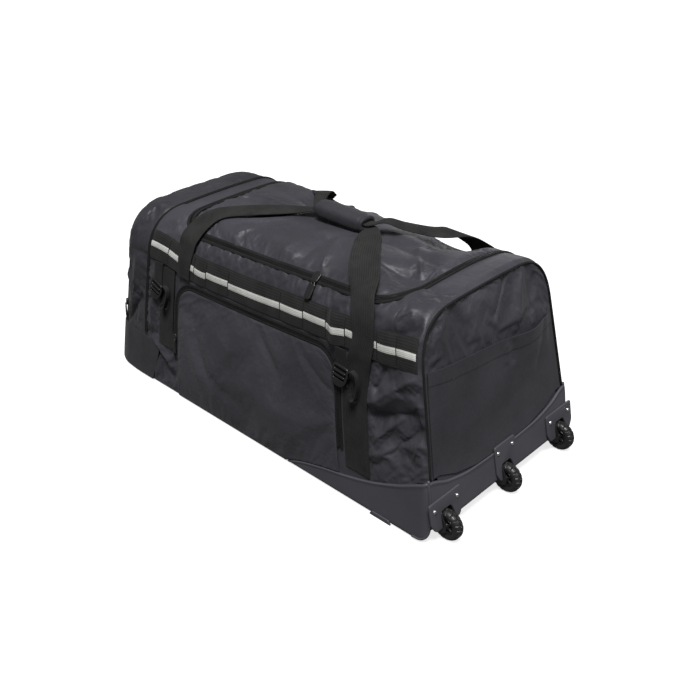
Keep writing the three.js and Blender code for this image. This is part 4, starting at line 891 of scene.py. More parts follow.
# Lid outline and the seams of the cloth walls
LID_LEFT = -300.0
LID_RIGHT = 387.0
LID_FRONT = 384.0
LID_BACK = 706.0
LID_CORNER_ALONG = 95.0
LID_CORNER_ACROSS = 66.0
LID_SEAM = 2.0
LEFT_SEAM = -363.0
GUSSET_START = LEFT + 7.5
FLOOR_GIRTH = float(girth_at(-15.0, FLOOR_TOP))
TUCK = 12.0
TUCK_END = 425.0
TUCK_LEAST = 2.0
SEAM_CLEAR = 8.0
SEAM_FADE = 16.0
FOOT_FADE = 40.0
STRIP_LAP = 0.1
BACK_LAP = 0.4
LID_PUFF = 3.0


def corner_drop(station, left, right, corner):
    """From 0 along an edge to 1 at the outer ends of its rounded corners."""
    from_left = np.clip((left + corner - station) / corner, 0, 1)
    from_right = np.clip((station - right + corner) / corner, 0, 1)
    reach = np.maximum(from_left, from_right)
    return 1 - np.sqrt(1 - reach * reach)


def lid_edge(girth, side):
    edge = LID_LEFT if side < 0 else LID_RIGHT
    reach = np.clip((LID_FRONT + LID_CORNER_ACROSS - girth) / LID_CORNER_ACROSS, 0, 1)
    return edge - side * LID_CORNER_ALONG * (1 - np.sqrt(1 - reach * reach))


def lid_front(station):
    return LID_FRONT + LID_CORNER_ACROSS * corner_drop(station, LID_LEFT, LID_RIGHT, LID_CORNER_ALONG)


def wall_foot(station):
    """Girth of a long wall's lower edge: on the floor plate, or tucked behind the base's wing."""
    wing = np.interp(station, WING_TOP["station"], WING_TOP["z"])
    tuck = np.where(station < TUCK_END, wing - TUCK, wing - TUCK_LEAST)
    on_floor = station <= WING_TOP["station"][0] + 20
    return girth_at(station, np.where(on_floor, FLOOR_TOP, np.maximum(FLOOR_TOP, tuck)))


def gathers(station, girth):
    """Small upright puckers of the strip between the band and the lid's zip."""
    turn = 2 * math.pi * station
    wander = 1.3 * np.sin(turn / 97.0)
    pucker = np.sin(turn / 34.0 + wander) + 0.7 * np.sin(turn / 21.0 + 2 * wander)
    inside = ease((station + 220) / 40) * ease((300 - station) / 40)
    share = 0.35 + 0.65 * np.sin(turn / 210.0 + 0.6) ** 2
    return 0.9 * share * pucker * inside * np.exp(-((girth - 360) / 14) ** 2)


def leg_station(girth):
    """The front handle's sewn leg leans towards the wheels as it rises."""
    return FRONT_LEG + LEG_LEAN["shift"] * ease((girth - LEG_LEAN["start"]) / LEG_LEAN["over"])


def front_pins(station, girth, foot):
    """Where the front wall is sewn down or covered."""
    pins = border(girth) | (girth < foot + 7)
    pins |= np.abs(girth - BAND_GIRTH) < BAND_HALF + 2
    pins |= (np.abs(station - leg_station(girth)) < HANDLE_HALF) & (girth < BAND_GIRTH)
    pins |= (station > POCKET_LEFT - 14) & (station < POCKET_RIGHT + 14) & (girth < POCKET_TOP + 14)
    for row in PINNED_STRAPS:
        beside = np.abs(station - row["station"]) < row["half"]
        pins |= beside & (girth > row["low"]) & (girth < BAND_GIRTH)
    return pins


def build_walls():
    stations = np.linspace(LEFT_SEAM, RIGHT, 150)[None, :]
    share = np.linspace(0, 1, 74)[:, None]
    foot = wall_foot(stations)
    girth = mix(foot, lid_front(stations) - LID_SEAM, share)
    station = stations + 0 * girth
    from_foot = ease((girth - foot - SEAM_CLEAR) / FOOT_FADE)
    free_share = from_foot * ease((lid_front(stations) - SEAM_CLEAR - girth) / SEAM_FADE)
    wall_cloth("front_wall", "front_panel", station, girth, gathers(station, girth), free_share,
               pins=front_pins(station, girth, foot))
    girth = FULL_GIRTH - mix(foot, FULL_GIRTH - LID_BACK - LID_SEAM, share)[::-1]
    free_share = ease((FULL_GIRTH - girth - foot - SEAM_CLEAR) / FOOT_FADE)
    wall_cloth("back_wall", "back_panel", station, girth, folded=free_share)
    stations = np.linspace(GUSSET_START, LEFT_SEAM, 24)[None, :]
    girths = np.linspace(FLOOR_GIRTH, FULL_GIRTH - FLOOR_GIRTH, 190)[:, None]
    station, girth = np.broadcast_arrays(stations, girths)
    free_share = ease((girth - 20) / FOOT_FADE)
    # The gusset is made of the walls' cloth; its darker finish is painted shade.
    wall_cloth("left_gusset_cloth", "left_gusset", station, girth, folded=free_share, finish="dull")
    strip_low = LID_FRONT + LID_CORNER_ACROSS - LID_SEAM - STRIP_LAP
    strip_high = LID_BACK + LID_SEAM - BACK_LAP
    strips = (("top_strip_left", LEFT_SEAM, LID_LEFT - LID_SEAM),
              ("top_strip_right", LID_RIGHT + LID_SEAM, RIGHT))
    for node, start, end in strips:
        station, girth = np.meshgrid(np.linspace(start, end, 14), np.linspace(strip_low, strip_high, 50))
        free_share = ease(np.minimum(station - start, end - station) / SEAM_FADE)
        wall_cloth(f"{node}_cloth", node, station, girth, folded=free_share)
    build_lid(strip_high)


def build_lid(back):
    rows = np.linspace(LID_FRONT + LID_SEAM, back, 66)[:, None]
    share = np.linspace(0, 1, 130)[None, :]
    station = mix(lid_edge(rows, -1) + LID_SEAM, lid_edge(rows, 1) - LID_SEAM, share)
    edge = np.minimum(np.minimum(station - lid_edge(rows, -1), lid_edge(rows, 1) - station),
                      np.minimum(rows - lid_front(station), back - rows))
    wall_cloth("lid_cloth", "lid", station, rows + 0 * share, LID_PUFF * ease(edge / 30), ease(edge / 25))


build_walls()

# End walls
END_INSET = CLOTH + SEAT + 0.4
LEFT_SWELL = 7.0
RIGHT_SWELL = {"most": 5, "low": 130, "high": 400}
LEFT_RECESS = 8.0
END_POCKET_TOP = 300.0
END_POCKET_DROP = 0.07
END_POCKET_HALF = 190.0
MOUTH_GAPE = 19.0
END_FOLDS = columns("station0 girth0 station1 girth1 spread height", [
    (-170, 308, -112, 388, 15, 5.0),
    (-150, 345, -84, 392, 10, -4.0),
    (-60, 318, -20, 396, 15, 3.0),
    (10, 336, 60, 398, 12, -4.0),
    (70, 306, 104, 392, 13, 4.5),
    (118, 300, 140, 372, 10, -4.0),
    (20, 312, 150, 330, 13, 3.0),
])
SLEEVE_FOLDS = columns("station0 girth0 station1 girth1 spread height", [
    (-150, 160, 60, 235, 22, 2.0),
    (-40, 150, 150, 210, 20, -2.0),
    (20, 240, 160, 255, 16, 1.8),
    (22, 250, 26, 290, 8, 2.2),
    (38, 246, 42, 290, 8, -2.2),
    (120, 200, 150, 300, 12, -2.5),
])


def end_edge(station, girth):
    normal = section_normal(np.full_like(girth, station), girth)
    flat = unit(normal[..., 1:])
    point = section(np.full_like(girth, station), girth)
    return np.abs(point[..., 1] - flat[..., 0] * END_INSET), point[..., 2] - flat[..., 1] * END_INSET


def end_rim(across):
    """Height of the base's rim at a share of the way across the wheel end."""
    return np.interp(np.abs(across) * END_TOP["y"][-1], END_TOP["y"], END_TOP["z"])


def right_foot(across):
    rim = end_rim(across)
    return np.where(np.abs(across) < 0.9, rim - TUCK, rim - TUCK_LEAST)


def pocket_mouth(across):
    return END_POCKET_TOP - END_POCKET_DROP * across * END_POCKET_HALF


def right_swell(across, z):
    low = RIGHT_SWELL["low"]
    up = np.clip((z - low) / (RIGHT_SWELL["high"] - low), 0, 1)
    return RIGHT_SWELL["most"] * np.cos(math.pi / 2 * across) * np.sin(math.pi * up)


def end_grid(station, across, t, foot, low_girth):
    half, edge_z = end_edge(station, mix(low_girth, WALL_GIRTH + ROLL_GIRTH, t))
    low = end_edge(station, np.array(low_girth))[1]
    top = end_edge(station, np.array(WALL_GIRTH + ROLL_GIRTH))[1]
    z = foot + (edge_z - low) / (top - low) * (top - foot)
    return across * half, z


def end_cloth(name, node, x, y, z, finish="cloth", pins=None):
    """A cloth sheet that faces along the bag."""
    cloth_sheet(name, node, np.stack([x, y, z], -1), np.stack([y, z], -1), finish, pins)


def build_ends():
    across = np.linspace(-1, 1, 76)[None, :]
    t = np.linspace(0, 1, 60)[:, None]
    y, z = end_grid(RIGHT, across, t, right_foot(across), float(girth_at(RIGHT, END_TOP["z"][-1] + 1)))
    mouth = pocket_mouth(across)
    inside = ease((1 - np.abs(across)) * 7) * ease((1 - t) * 7) * ease((z - mouth - 2) / 18)
    x = x_at(RIGHT, z) + right_swell(across, z) + ridge(y, z, END_FOLDS) * inside
    end_cloth("right_end_cloth", "right_end_panel", x, y, z, pins=border(z) | (z < mouth - 6))
    y, z = end_grid(LEFT, -across, t, FLOOR_TOP + 0 * across, FLOOR_GIRTH)
    swell = LEFT_SWELL * np.cos(math.pi / 2 * across) * np.sin(math.pi * t)
    end_cloth("left_end_cloth", "left_end_panel", x_at(LEFT, z) + LEFT_RECESS - swell, y, z)


def build_end_pocket():
    """The open sleeve: its mouth gapes towards the back, with a folded hem and a small pleat."""
    across = np.linspace(-1, 1, 110)[None, :]
    t = np.concatenate([np.linspace(0, 0.86, 50), np.linspace(0.875, 1, 12)])[:, None]
    rim = end_rim(across)
    z = mix(rim + 2, pocket_mouth(across), t)
    half = np.abs(section(RIGHT, girth_at(RIGHT, z))[..., 1]) - END_INSET - 6
    y = across * half
    open_share = 0.25 + 0.75 * np.exp(-((across - 0.5) / 0.3) ** 2)
    sides = ease((1 - np.abs(across)) * 6)
    gape = MOUTH_GAPE * t ** 2 * open_share * sides
    folds = ridge(y, z, SLEEVE_FOLDS) * (sides * ease((z - rim - 10) / 40))
    hem = 1.1 * ease((t - 0.865) / 0.012)
    x = x_at(RIGHT, z) + right_swell(across, z) + gape + folds + SEAT + CLOTH
    end_cloth("end_pocket_cloth", "end_pocket", x + hem, y, z, "dull")


build_ends()
build_end_pocket()

# Front pocket
POCKET_SWELL = 6.5
POCKET_FOLDS = columns("station0 girth0 station1 girth1 spread height", [
    (-222, 220, -160, 70, 15, 7.0),
    (-196, 240, -128, 80, 12, -6.5),
    (-150, 200, -90, 90, 15, 4.0),
    (-170, 264, -40, 176, 22, 2.6),
    (20, 264, 92, 186, 13, -5.0),
    (128, 264, 216, 168, 13, 5.0),
    (160, 250, 228, 205, 8, -4.0),
    (-40, 150, 150, 66, 28, 2.8),
    (-130, 110, 10, 44, 20, -2.4),
    (60, 110, 200, 120, 18, 2.2),
])


def pocket_top(station):
    return POCKET_TOP - POCKET_CORNER * corner_drop(station, POCKET_LEFT, POCKET_RIGHT, POCKET_CORNER)


def build_front_pocket():
    share = np.linspace(0, 1, 100)
    even = (1 - np.cos(math.pi * share)) / 2
    station = mix(POCKET_LEFT, POCKET_RIGHT, mix(share, even, 0.5))[None, :]
    t = np.linspace(0, 1, 60)[:, None]
    wing = np.interp(station, WING_TOP["station"], WING_TOP["z"])
    foot = girth_at(station, np.where(station > WING_TOP["station"][0], wing + 2, FLOOR_TOP))
    girth = mix(foot, pocket_top(station), t)
    station = station + 0 * girth
    s = (station - POCKET_LEFT) / (POCKET_RIGHT - POCKET_LEFT)
    rise = np.sin(math.pi * s) ** 0.5 * np.sin(math.pi * t) ** 0.6
    lift = SEAT + CLOTH + rise * (POCKET_SWELL + ridge(station, girth, POCKET_FOLDS))
    wall_cloth("front_pocket_cloth", "front_pocket", station, girth, lift)


PATCH = {"top": 114.0, "start": LEFT + 12, "foot_end": -336.0, "top_end": -306.0}


def build_corner_patch():
    s = np.linspace(0, 1, 60)[None, :]
    t = np.linspace(0, 1, 34)[:, None]
    girth = mix(FLOOR_GIRTH, PATCH["top"], t) + 0 * s
    station = mix(PATCH["start"], mix(PATCH["foot_end"], PATCH["top_end"], t), s)
    lift = SEAT + CLOTH + 1.2 * np.sin(math.pi * t) ** 0.5 * np.sin(math.pi * s) ** 0.5
    wall_cloth("corner_patch_cloth", "corner_patch", station, girth, lift, finish="dull")


build_front_pocket()
build_corner_patch()

# Zips
ZIP_PROFILE = [(-8, 1.2, 0.2), (-7.4, 2.0, 0.2), (-3.4, 2.6, 0.2), (-2.8, 2.2, 0.2), (-2.4, 1.2, 0.2),
               (2.4, 1.2, 0.2), (2.8, 2.2, 0.2), (3.4, 2.6, 0.2), (7.4, 2.0, 0.2), (8, 1.2, 0.2)]
TEETH_PITCH = 3.2
ZIP_BESIDE = 7.5
ZIP_LIFT = 0.6
TEETH_LIFT = 1.9
LEFT_ZIP_START = 124.0


def rounded_path(left, right, low, high, corner_along, corner_across, step=4.0):
    """Points up one side, round a corner, along, round and down again."""
    up = math.copysign(1, high - low)
    turn = np.linspace(0, math.pi / 2, 16)[1:]
    side = [(left, girth) for girth in np.arange(low, high - up * corner_across, up * step)]
    first = [(left + corner_along * (1 - math.cos(a)), high - up * corner_across * (1 - math.sin(a)))
             for a in np.concatenate([[0], turn])]
    top = [(station, high) for station in np.arange(left + corner_along + step, right - corner_along, step)]
    second = [(right - corner_along * (1 - math.sin(a)), high - up * corner_across * (1 - math.cos(a)))
              for a in np.concatenate([[0], turn])]
    other = [(right, girth) for girth in np.arange(high - up * (corner_across + step), low, -up * step)]
    return np.array(side + first + top + second + other)


def build_teeth(name, path):
    """Two rows of small blocks that interlock along a zip's middle."""
    along = run_length(path)
    at = np.arange(2, along[-1] - 2, TEETH_PITCH)
    station = np.interp(at, along, path[:, 0])
    girth = np.interp(at, along, path[:, 1])
    way = unit(np.stack([np.gradient(station), np.gradient(girth)], -1))
    corners = [(-1, -1), (1, -1), (1, 1), (-1, 1)]
    points = []
    for row in (-1, 1):
        shift = row * TEETH_PITCH / 4
        for top in (0.0, 1.3):
            for a, b in corners:
                off = row * 0.9 + b * 1.3 * (1 - 0.2 * top)
                run = shift + a * 0.62 * (1 - 0.2 * top)
                points.append(surface(station + way[:, 0] * run - way[:, 1] * off,
                                      girth + way[:, 1] * run + way[:, 0] * off, TEETH_LIFT + top))
    block = [(0, 1, 5, 4), (1, 2, 6, 5), (2, 3, 7, 6), (3, 0, 4, 7), (4, 5, 6, 7), (3, 2, 1, 0)]
    start = (np.arange(len(at))[:, None] * 16 + np.array([0, 8])).reshape(-1, 1, 1)
    make(name, np.stack(points, 1), (start + np.array(block)).reshape(-1, 4), "plastic", smooth=False)


def build_zips():
    lid = rounded_path(LID_LEFT, LID_RIGHT, LID_BACK + 2, LID_FRONT, LID_CORNER_ALONG, LID_CORNER_ACROSS)
    out = POCKET_CORNER + ZIP_BESIDE
    pocket = rounded_path(POCKET_LEFT - ZIP_BESIDE, POCKET_RIGHT + ZIP_BESIDE, 100.0, POCKET_TOP + ZIP_BESIDE,
                          out, out)
    girths = np.arange(LEFT_ZIP_START, FULL_GIRTH - LEFT_ZIP_START, 4.0)
    left_end = np.column_stack([np.full(len(girths), LEFT_SEAM), girths])
    for name, path in (("lid_zip", lid), ("pocket_zip", pocket), ("left_end_zip", left_end)):
        level = np.column_stack([path, np.full(len(path), ZIP_LIFT)])
        narrow = 0.55 if name == "left_end_zip" else 1.0
        profile = [(across * narrow, top, under) for across, top, under in ZIP_PROFILE]
        strip(f"{name}_tape", level, profile, "tape", (name,))
        if narrow == 1.0:
            build_teeth(f"{name}_teeth", path)


build_zips()

# Webbing band with its pale stripe
STRIPE_HALF = 4.5
LOOP = {"station": 243.0, "spread": 15.0, "rise": 9.0}
BAND_TACKS = (-356.0, -289.0, -195.0, -154.0, -79.0, 84.0, 152.0, 217.0, 269.0, 352.0, 400.0, 447.0)
BAND_LIFT = SEAT + WEBBING
STRIPE_LIFT = BAND_LIFT + SEAT + 1.0


def flat_profile(half, top, under, count=7):
    off = np.linspace(-half, half, count)
    rim = np.where(np.abs(off) > half * 0.99, 0.5, 0.0)
    return np.column_stack([off, top - rim, np.full(count, under)])


def band_girth(station):
    """The band's middle, which climbs a little at both ends."""
    return BAND_GIRTH + 17 * ease((-160 - station) / 190) + 9 * ease((station - 340) / 110)


def band_rise(station):
    """The band swells between its bar-tacks and stands off in one slack loop."""
    tacks = np.array(BAND_TACKS)
    i = np.clip(np.searchsorted(tacks, station) - 1, 0, len(tacks) - 2)
    share = np.clip((station - tacks[i]) / (tacks[i + 1] - tacks[i]), 0, 1)
    swell = 1.6 * np.sin(math.pi * share) ** 0.7
    away = (station - LOOP["station"]) / LOOP["spread"]
    return swell + LOOP["rise"] * np.exp(-away * away)


def build_band():
    station = np.linspace(BAND_TACKS[0], BAND_TACKS[-1], 330)
    path = np.column_stack([station, band_girth(station), band_rise(station)])
    profile = flat_profile(BAND_HALF, BAND_LIFT, BAND_LIFT - WEBBING, 11)
    strip("webbing_band_cloth", path, profile, "webbing", ("webbing_band",))
    profile = flat_profile(STRIPE_HALF, BAND_LIFT + 0.8, BAND_LIFT + 0.1)
    for i in range(len(BAND_TACKS) - 1):
        station = np.linspace(BAND_TACKS[i] + 1.5, BAND_TACKS[i + 1] - 1.5, 30)
        shift = 1.1 * math.sin(2.4 * i + 0.5) + 0.012 * math.cos(1.7 * i) * (station - station.mean())
        path = np.column_stack([station, band_girth(station) + shift, band_rise(station)])
        strip(f"reflective_stripe_{i + 1}", path, profile, "reflective", ("reflective_stripe",))
    profile = flat_profile(1.2, BAND_LIFT + 1.0, BAND_LIFT + 0.1, 5)
    across = np.linspace(-19, 19, 14)
    for i, tack in enumerate(BAND_TACKS[1:-1]):
        station = np.full(14, tack)
        path = np.column_stack([station, band_girth(station) + across, band_rise(station)])
        strip(f"bar_tack_{i + 1}", path, profile, "tape")


build_band()

# Handles
GRIP_CENTRE = np.array([30.0, 10.0, 426.0])
GRIP_HALF = 60.0
IN_GRIP = 13.0
OVER_BAND = STRIPE_LIFT + SEAT + WEBBING
ON_WALL = SEAT + WEBBING
LEFT_LEG = -226.0
BACK_LEG = 288.0
BACK_LEFT_LEG = -222.0


def sewn(station, girth, lift, half=HANDLE_HALF, side=1.0):
    return (surface(station, girth, lift), (side, 0.0, 0.0), half)


def free(x, y, z, turn, half, tip=0.0):
    angle = math.radians(turn)
    return ((x, y, z), (math.cos(angle), math.sin(angle), tip), half)


def build_handles():
    lift = WEBBING / 2
    right = GRIP_CENTRE[0] + GRIP_HALF
    left = GRIP_CENTRE[0] - GRIP_HALF
    grip_y = GRIP_CENTRE[1]
    low = GRIP_CENTRE[2] - 2.6
    high = GRIP_CENTRE[2] + 2.6
    front = [
        sewn(FRONT_LEG, 72, ON_WALL - lift),
        sewn(FRONT_LEG, 130, ON_WALL - lift),
        sewn(FRONT_LEG, 200, ON_WALL - lift),
        sewn(FRONT_LEG + 8, 262, ON_WALL - lift, 28),
        sewn(FRONT_LEG + 23, 300, OVER_BAND - lift, 25),
        sewn(FRONT_LEG + 31, 325, OVER_BAND - lift, 24),
        sewn(FRONT_LEG + 29, 350, OVER_BAND + 3 - lift, 25),
        sewn(FRONT_LEG + 12, 384, 17, 27),
        free(214, -136, 417, 26, 28),
        free(178, -94, 425, 36, 27),
        free(146, -50, 430, 40, 25),
        free(120, -18, 430, 50, 18, 0.1),
        free(right + 8, grip_y - 4, low, 80, IN_GRIP),
        free(right - 4, grip_y, low, 90, IN_GRIP),
        free(GRIP_CENTRE[0], grip_y, low, 90, IN_GRIP),
        free(left + 4, grip_y, low, 90, IN_GRIP),
        free(left - 8, grip_y, low - 2, 92, IN_GRIP),
        free(left - 34, grip_y - 4, 413, 98, 17),
        free(left - 84, -20, 407, 118, 24),
        free(left - 134, -66, 405, 142, 26),
        free(LEFT_LEG + 20, -120, 399, 165, 26),
        sewn(LEFT_LEG, 374, OVER_BAND + 4 - lift, 25, -1),
        sewn(LEFT_LEG, 348, OVER_BAND - lift, 21, -1),
        sewn(LEFT_LEG, 325, OVER_BAND - lift, 18, -1),
        sewn(LEFT_LEG, 304, OVER_BAND - lift, 18, -1),
    ]
    ribbon("front_handle_webbing", front, ("front_handle",), cup=0.6)
    rear = [
        sewn(BACK_LEG, FULL_GIRTH - 98, ON_WALL - lift),
        sewn(BACK_LEG, FULL_GIRTH - 150, ON_WALL - lift),
        sewn(BACK_LEG, FULL_GIRTH - 230, ON_WALL - lift),
        sewn(BACK_LEG, FULL_GIRTH - 280, ON_WALL - lift),
        sewn(BACK_LEG, FULL_GIRTH - 316, ON_WALL + 2),
        free(234, 191, 357, 22, 28),
        free(216, 171, 380, 20, 27),
        free(212, 130, 408, 4, 24, -0.1),
        free(184, 101, 409, -34, 18, -0.2),
        free(143, 55, 424, -50, 14, -0.2),
        free(120, 30, 436, -66, 13),
        free(right + 9, grip_y + 1, high + 0.6, -88, IN_GRIP),
        free(right - 4, grip_y, high, -90, IN_GRIP),
        free(GRIP_CENTRE[0], grip_y, high, -90, IN_GRIP),
        free(left + 4, grip_y, high, -90, IN_GRIP),
        free(left - 7, grip_y + 0.6, high + 0.6, -98, IN_GRIP),
        free(left - 15, grip_y + 10, 436, -122, 13),
        free(left - 26, grip_y + 28, 440, -136, 14),
        free(left - 44, grip_y + 52, 433, -140, 17),
        free(left - 68, grip_y + 80, 413, -140, 21),
        free(left - 98, 119, 396, -142, 24, 0.1),
        free(left - 130, 146, 381, -152, 26, 0.2),
        sewn(BACK_LEFT_LEG + 22, FULL_GIRTH - 364, 9, 28, -1),
        sewn(BACK_LEFT_LEG + 8, FULL_GIRTH - 340, ON_WALL + 3, side=-1),
        sewn(BACK_LEFT_LEG, FULL_GIRTH - 312, ON_WALL - lift, side=-1),
        sewn(BACK_LEFT_LEG, FULL_GIRTH - 230, ON_WALL - lift, side=-1),
        sewn(BACK_LEFT_LEG, FULL_GIRTH - 150, ON_WALL - lift, side=-1),
        sewn(BACK_LEFT_LEG, FULL_GIRTH - 60, ON_WALL - lift, side=-1),
    ]
    ribbon("rear_handle_webbing", rear, ("rear_handle",), cup=0.6)
    girth = np.linspace(116, float(band_girth(ANCHOR_STATION)) - BAND_HALF - 6, 50)
    path = np.column_stack([np.full(50, ANCHOR_STATION), girth, np.zeros(50)])
    profile = flat_profile(24, ON_WALL, ON_WALL - WEBBING)
    strip("anchor_strap_webbing", path, profile, "webbing", ("anchor_strap_left",))


def build_grip():
    """The padded wrap: a rounded sleeve with a lapped flap along it and bound ends."""
    along = np.concatenate([[-1, -0.985, -0.95, -0.9], np.linspace(-0.84, 0.84, 40), [0.9, 0.95, 0.985, 1]])
    angle = np.linspace(0, 2 * math.pi, 72, endpoint=False)
    plump = 1 - 0.10 * np.abs(along) ** 6 - 0.05 * np.exp(-((np.abs(along) - 0.9) / 0.03) ** 2)
    wide = 22.0
    high = 17.0
    power = 2.6
    c = np.cos(angle)
    s = np.sin(angle)
    y = wide * np.sign(c) * np.abs(c) ** (2 / power)
    z = high * np.sign(s) * np.abs(s) ** (2 / power)
    flap = 0.05 * ease((angle - 1.2) / 0.6) * (angle < 3.56)
    groove = 1 - 0.16 * np.exp(-((angle - 3.6) / 0.06) ** 2) + flap
    outer = np.stack([
        GRIP_CENTRE[0] + along[:, None] * GRIP_HALF + 0 * angle,
        GRIP_CENTRE[1] + y * groove * plump[:, None],
        GRIP_CENTRE[2] + z * groove * plump[:, None],
    ], -1)
    inner = np.stack([
        outer[..., 0],
        GRIP_CENTRE[1] + 0.68 * y + 0 * along[:, None],
        GRIP_CENTRE[2] + 0.34 * z + 0 * along[:, None],
    ], -1)
    index, skin = ring_faces(len(along), len(angle))
    after = np.roll(index, -1, axis=1)
    half = index.size
    ends = [np.stack([after[0], index[0], index[0] + half, after[0] + half], -1),
            np.stack([index[-1], after[-1], after[-1] + half, index[-1] + half], -1)]
    faces = np.concatenate([skin, skin[:, ::-1] + half] + ends)
    uv = np.stack([along[:, None] * GRIP_HALF + 0 * angle, 20 * angle + 0 * along[:, None]], -1)
    uv = uv.reshape(-1, 2)
    points = np.concatenate([outer.reshape(-1, 3), inner.reshape(-1, 3)])
    grip = make("grip_pad", points, faces, "dull", ("grip",), uv=np.concatenate([uv, uv]))


build_handles()
build_grip()

# Piping round the two ends
PIPING_RADIUS = 2.3
PIPING_SEAT = 0.6


def build_piping():
    rows = (("right", RIGHT, 1, float(girth_at(RIGHT, 127.0))), ("left", GUSSET_START, -1, FLOOR_GIRTH + 6))
    for name, station, outward, start in rows:
        girth = np.linspace(start, FULL_GIRTH - start, 200)
        points = surface(np.full_like(girth, station), girth, -CLOTH / 2)
        points[:, 0] += outward * (PIPING_RADIUS - PIPING_SEAT)
        even = sum(points[k:len(points) - 4 + k] for k in range(5)) / 5
        points[2:-2] = even
        tube(f"piping_{name}_cord", points, PIPING_RADIUS, "tape", (f"piping_{name}",))


build_piping()

# Wheel housings, rivets and skid feet
WHEELS = [
    {"name": "1", "y": WHEEL_Y[0], "half": 43.0, "top": 88.0, "rivet_z": 72.0, "rivet_half": 31.0},
    {"name": "2", "y": WHEEL_Y[1], "half": 31.0, "top": 104.0, "rivet_z": 90.0, "rivet_half": 22.0},
    {"name": "3", "y": WHEEL_Y[2], "half": 43.0, "top": 88.0, "rivet_z": 72.0, "rivet_half": 31.0},
]
PLATE_THICKNESS = 4.0
PLATE_FOOT = UPTURN_HEIGHT + 1
LEAN = math.atan(RIGHT_LEAN)
WALL_UP = np.array([-math.sin(LEAN), 0.0, math.cos(LEAN)])
WALL_OUT = np.array([math.cos(LEAN), 0.0, math.sin(LEAN)])
WALL_AXES = [[0.0, 1.0, 0.0], WALL_UP, WALL_OUT]
UPRIGHT_AXES = [[1, 0, 0], [0, 0, 1], [0, -1, 0]]
RIVET_DOME = [(4.3, -0.2), (4.3, 0.5), (3.9, 1.2), (3.0, 1.9), (1.6, 2.35), (0.3, 2.5)]


def plate_x(z):
    return x_at(RIGHT, z) + BASE_OUT + GAP


def build_housing(wheel):
    """A riveted plate round the wheel's slot and the lining of its well."""
    high = (wheel["top"] - PLATE_FOOT) / math.cos(LEAN)
    slot = WELL_TOP - PLATE_FOOT
    half = wheel["half"]
    right = [(WELL_HALF, 0), (half - 10, 0), (half, 16), (half, high)]
    outline = right + [(-across, up) for across, up in reversed(right)]
    outline += [(-WELL_HALF, slot), (WELL_HALF, slot)]
    origin = np.array([plate_x(PLATE_FOOT), wheel["y"], PLATE_FOOT]) + WALL_OUT * PLATE_THICKNESS / 2
    name = f"wheel_housing_{wheel['name']}"
    place = (origin, WALL_AXES)
    plate(f"{name}_plate", [round_corners(outline, 5)], PLATE_THICKNESS, 1.1, place, "base", (name,))
    top = WELL_TOP + WELL_WALL
    reach = AXLE_X + 8
    cheek = [(WELL_BACK, 12), (AXLE_X - 14, AXLE_Z - 10), (AXLE_X + 2, AXLE_Z - 10), (reach, AXLE_Z - 5),
             (reach, AXLE_Z + 8), (plate_x(top) + 2, top), (WELL_BACK, top)]
    for side, end in ((-1, "a"), (1, "b")):
        place = ((0, wheel["y"] + side * (WELL_HALF + WELL_WALL / 2), 0), UPRIGHT_AXES)
        plate(f"{name}_cheek_{end}", [round_corners(cheek, 4)], WELL_WALL, 0.5, place, "plastic")
        spot = np.array([plate_x(wheel["rivet_z"]) + PLATE_THICKNESS / math.cos(LEAN),
                         wheel["y"] + side * wheel["rivet_half"], wheel["rivet_z"]])
        rivet = f"rivet_{wheel['name']}{end}"
        lathe(f"{rivet}_dome", RIVET_DOME, (spot, WALL_AXES), "steel", (rivet,))
    inner = WELL_BACK + WELL_WALL
    roof = [(WELL_BACK, WELL_TOP), (plate_x(WELL_TOP), WELL_TOP), (plate_x(top), top), (WELL_BACK, top)]
    rear = [(WELL_BACK, 12), (inner, 13), (inner, WELL_TOP), (WELL_BACK, WELL_TOP)]
    for part, loop in (("roof", roof), ("rear", rear)):
        place = ((0, wheel["y"], 0), UPRIGHT_AXES)
        plate(f"{name}_{part}", [np.array(loop)], 2 * WELL_HALF, 0.3, place, "base")


# Wheels
AXLE_RADIUS = 4.0
HUB_RADIUS = 17.0
HUB_DEPTH = WHEEL_WIDTH - 4
KNOBS = 18
KNOB_DEPTH = 2.2
SPOKES = 5


def build_tyre(name, body, middle):
    """A ring whose shoulders and crown carry staggered knobs on each side of a groove."""
    profile = columns("radius y knob row", [
        (HUB_RADIUS + 0.3, -9.0, 0, 0), (19.5, -9.8, 0, 0), (23.5, -10.0, 0, 0), (25.0, -9.6, 0, 0),
        (26.4, -9.0, 0.6, 0), (28.2, -7.6, 1, 0), (29.4, -5.8, 1, 0), (30.0, -4.0, 1, 0), (30.0, -1.3, 1, 0),
        (29.6, -0.9, 1, 0), (27.9, -0.6, 0, 0), (27.9, 0.6, 0, 0), (29.6, 0.9, 1, 1),
        (30.0, 1.3, 1, 1), (30.0, 4.0, 1, 1), (29.4, 5.8, 1, 1), (28.2, 7.6, 1, 1), (26.4, 9.0, 0.6, 1),
        (25.0, 9.6, 0, 0), (23.5, 10.0, 0, 0), (19.5, 9.8, 0, 0), (HUB_RADIUS + 0.3, 9.0, 0, 0),
    ])
    steps = KNOBS * 12
    angle = np.linspace(0, 2 * math.pi, steps, endpoint=False)[:, None]
    phase = (angle * KNOBS / (2 * math.pi) + 0.5 * profile["row"]) % 1.0
    gap = ease(1 - np.abs(phase - 0.5) / 0.17)
    radius = profile["radius"] - KNOB_DEPTH * profile["knob"] * gap
    points = np.stack([middle[0] + radius * np.cos(angle), middle[1] + profile["y"] + 0 * radius,
                       middle[2] + radius * np.sin(angle)], -1)
    weld(make(f"{name}_rubber", points, loop_faces(steps, len(profile["y"])), "tyre", (name,), body))


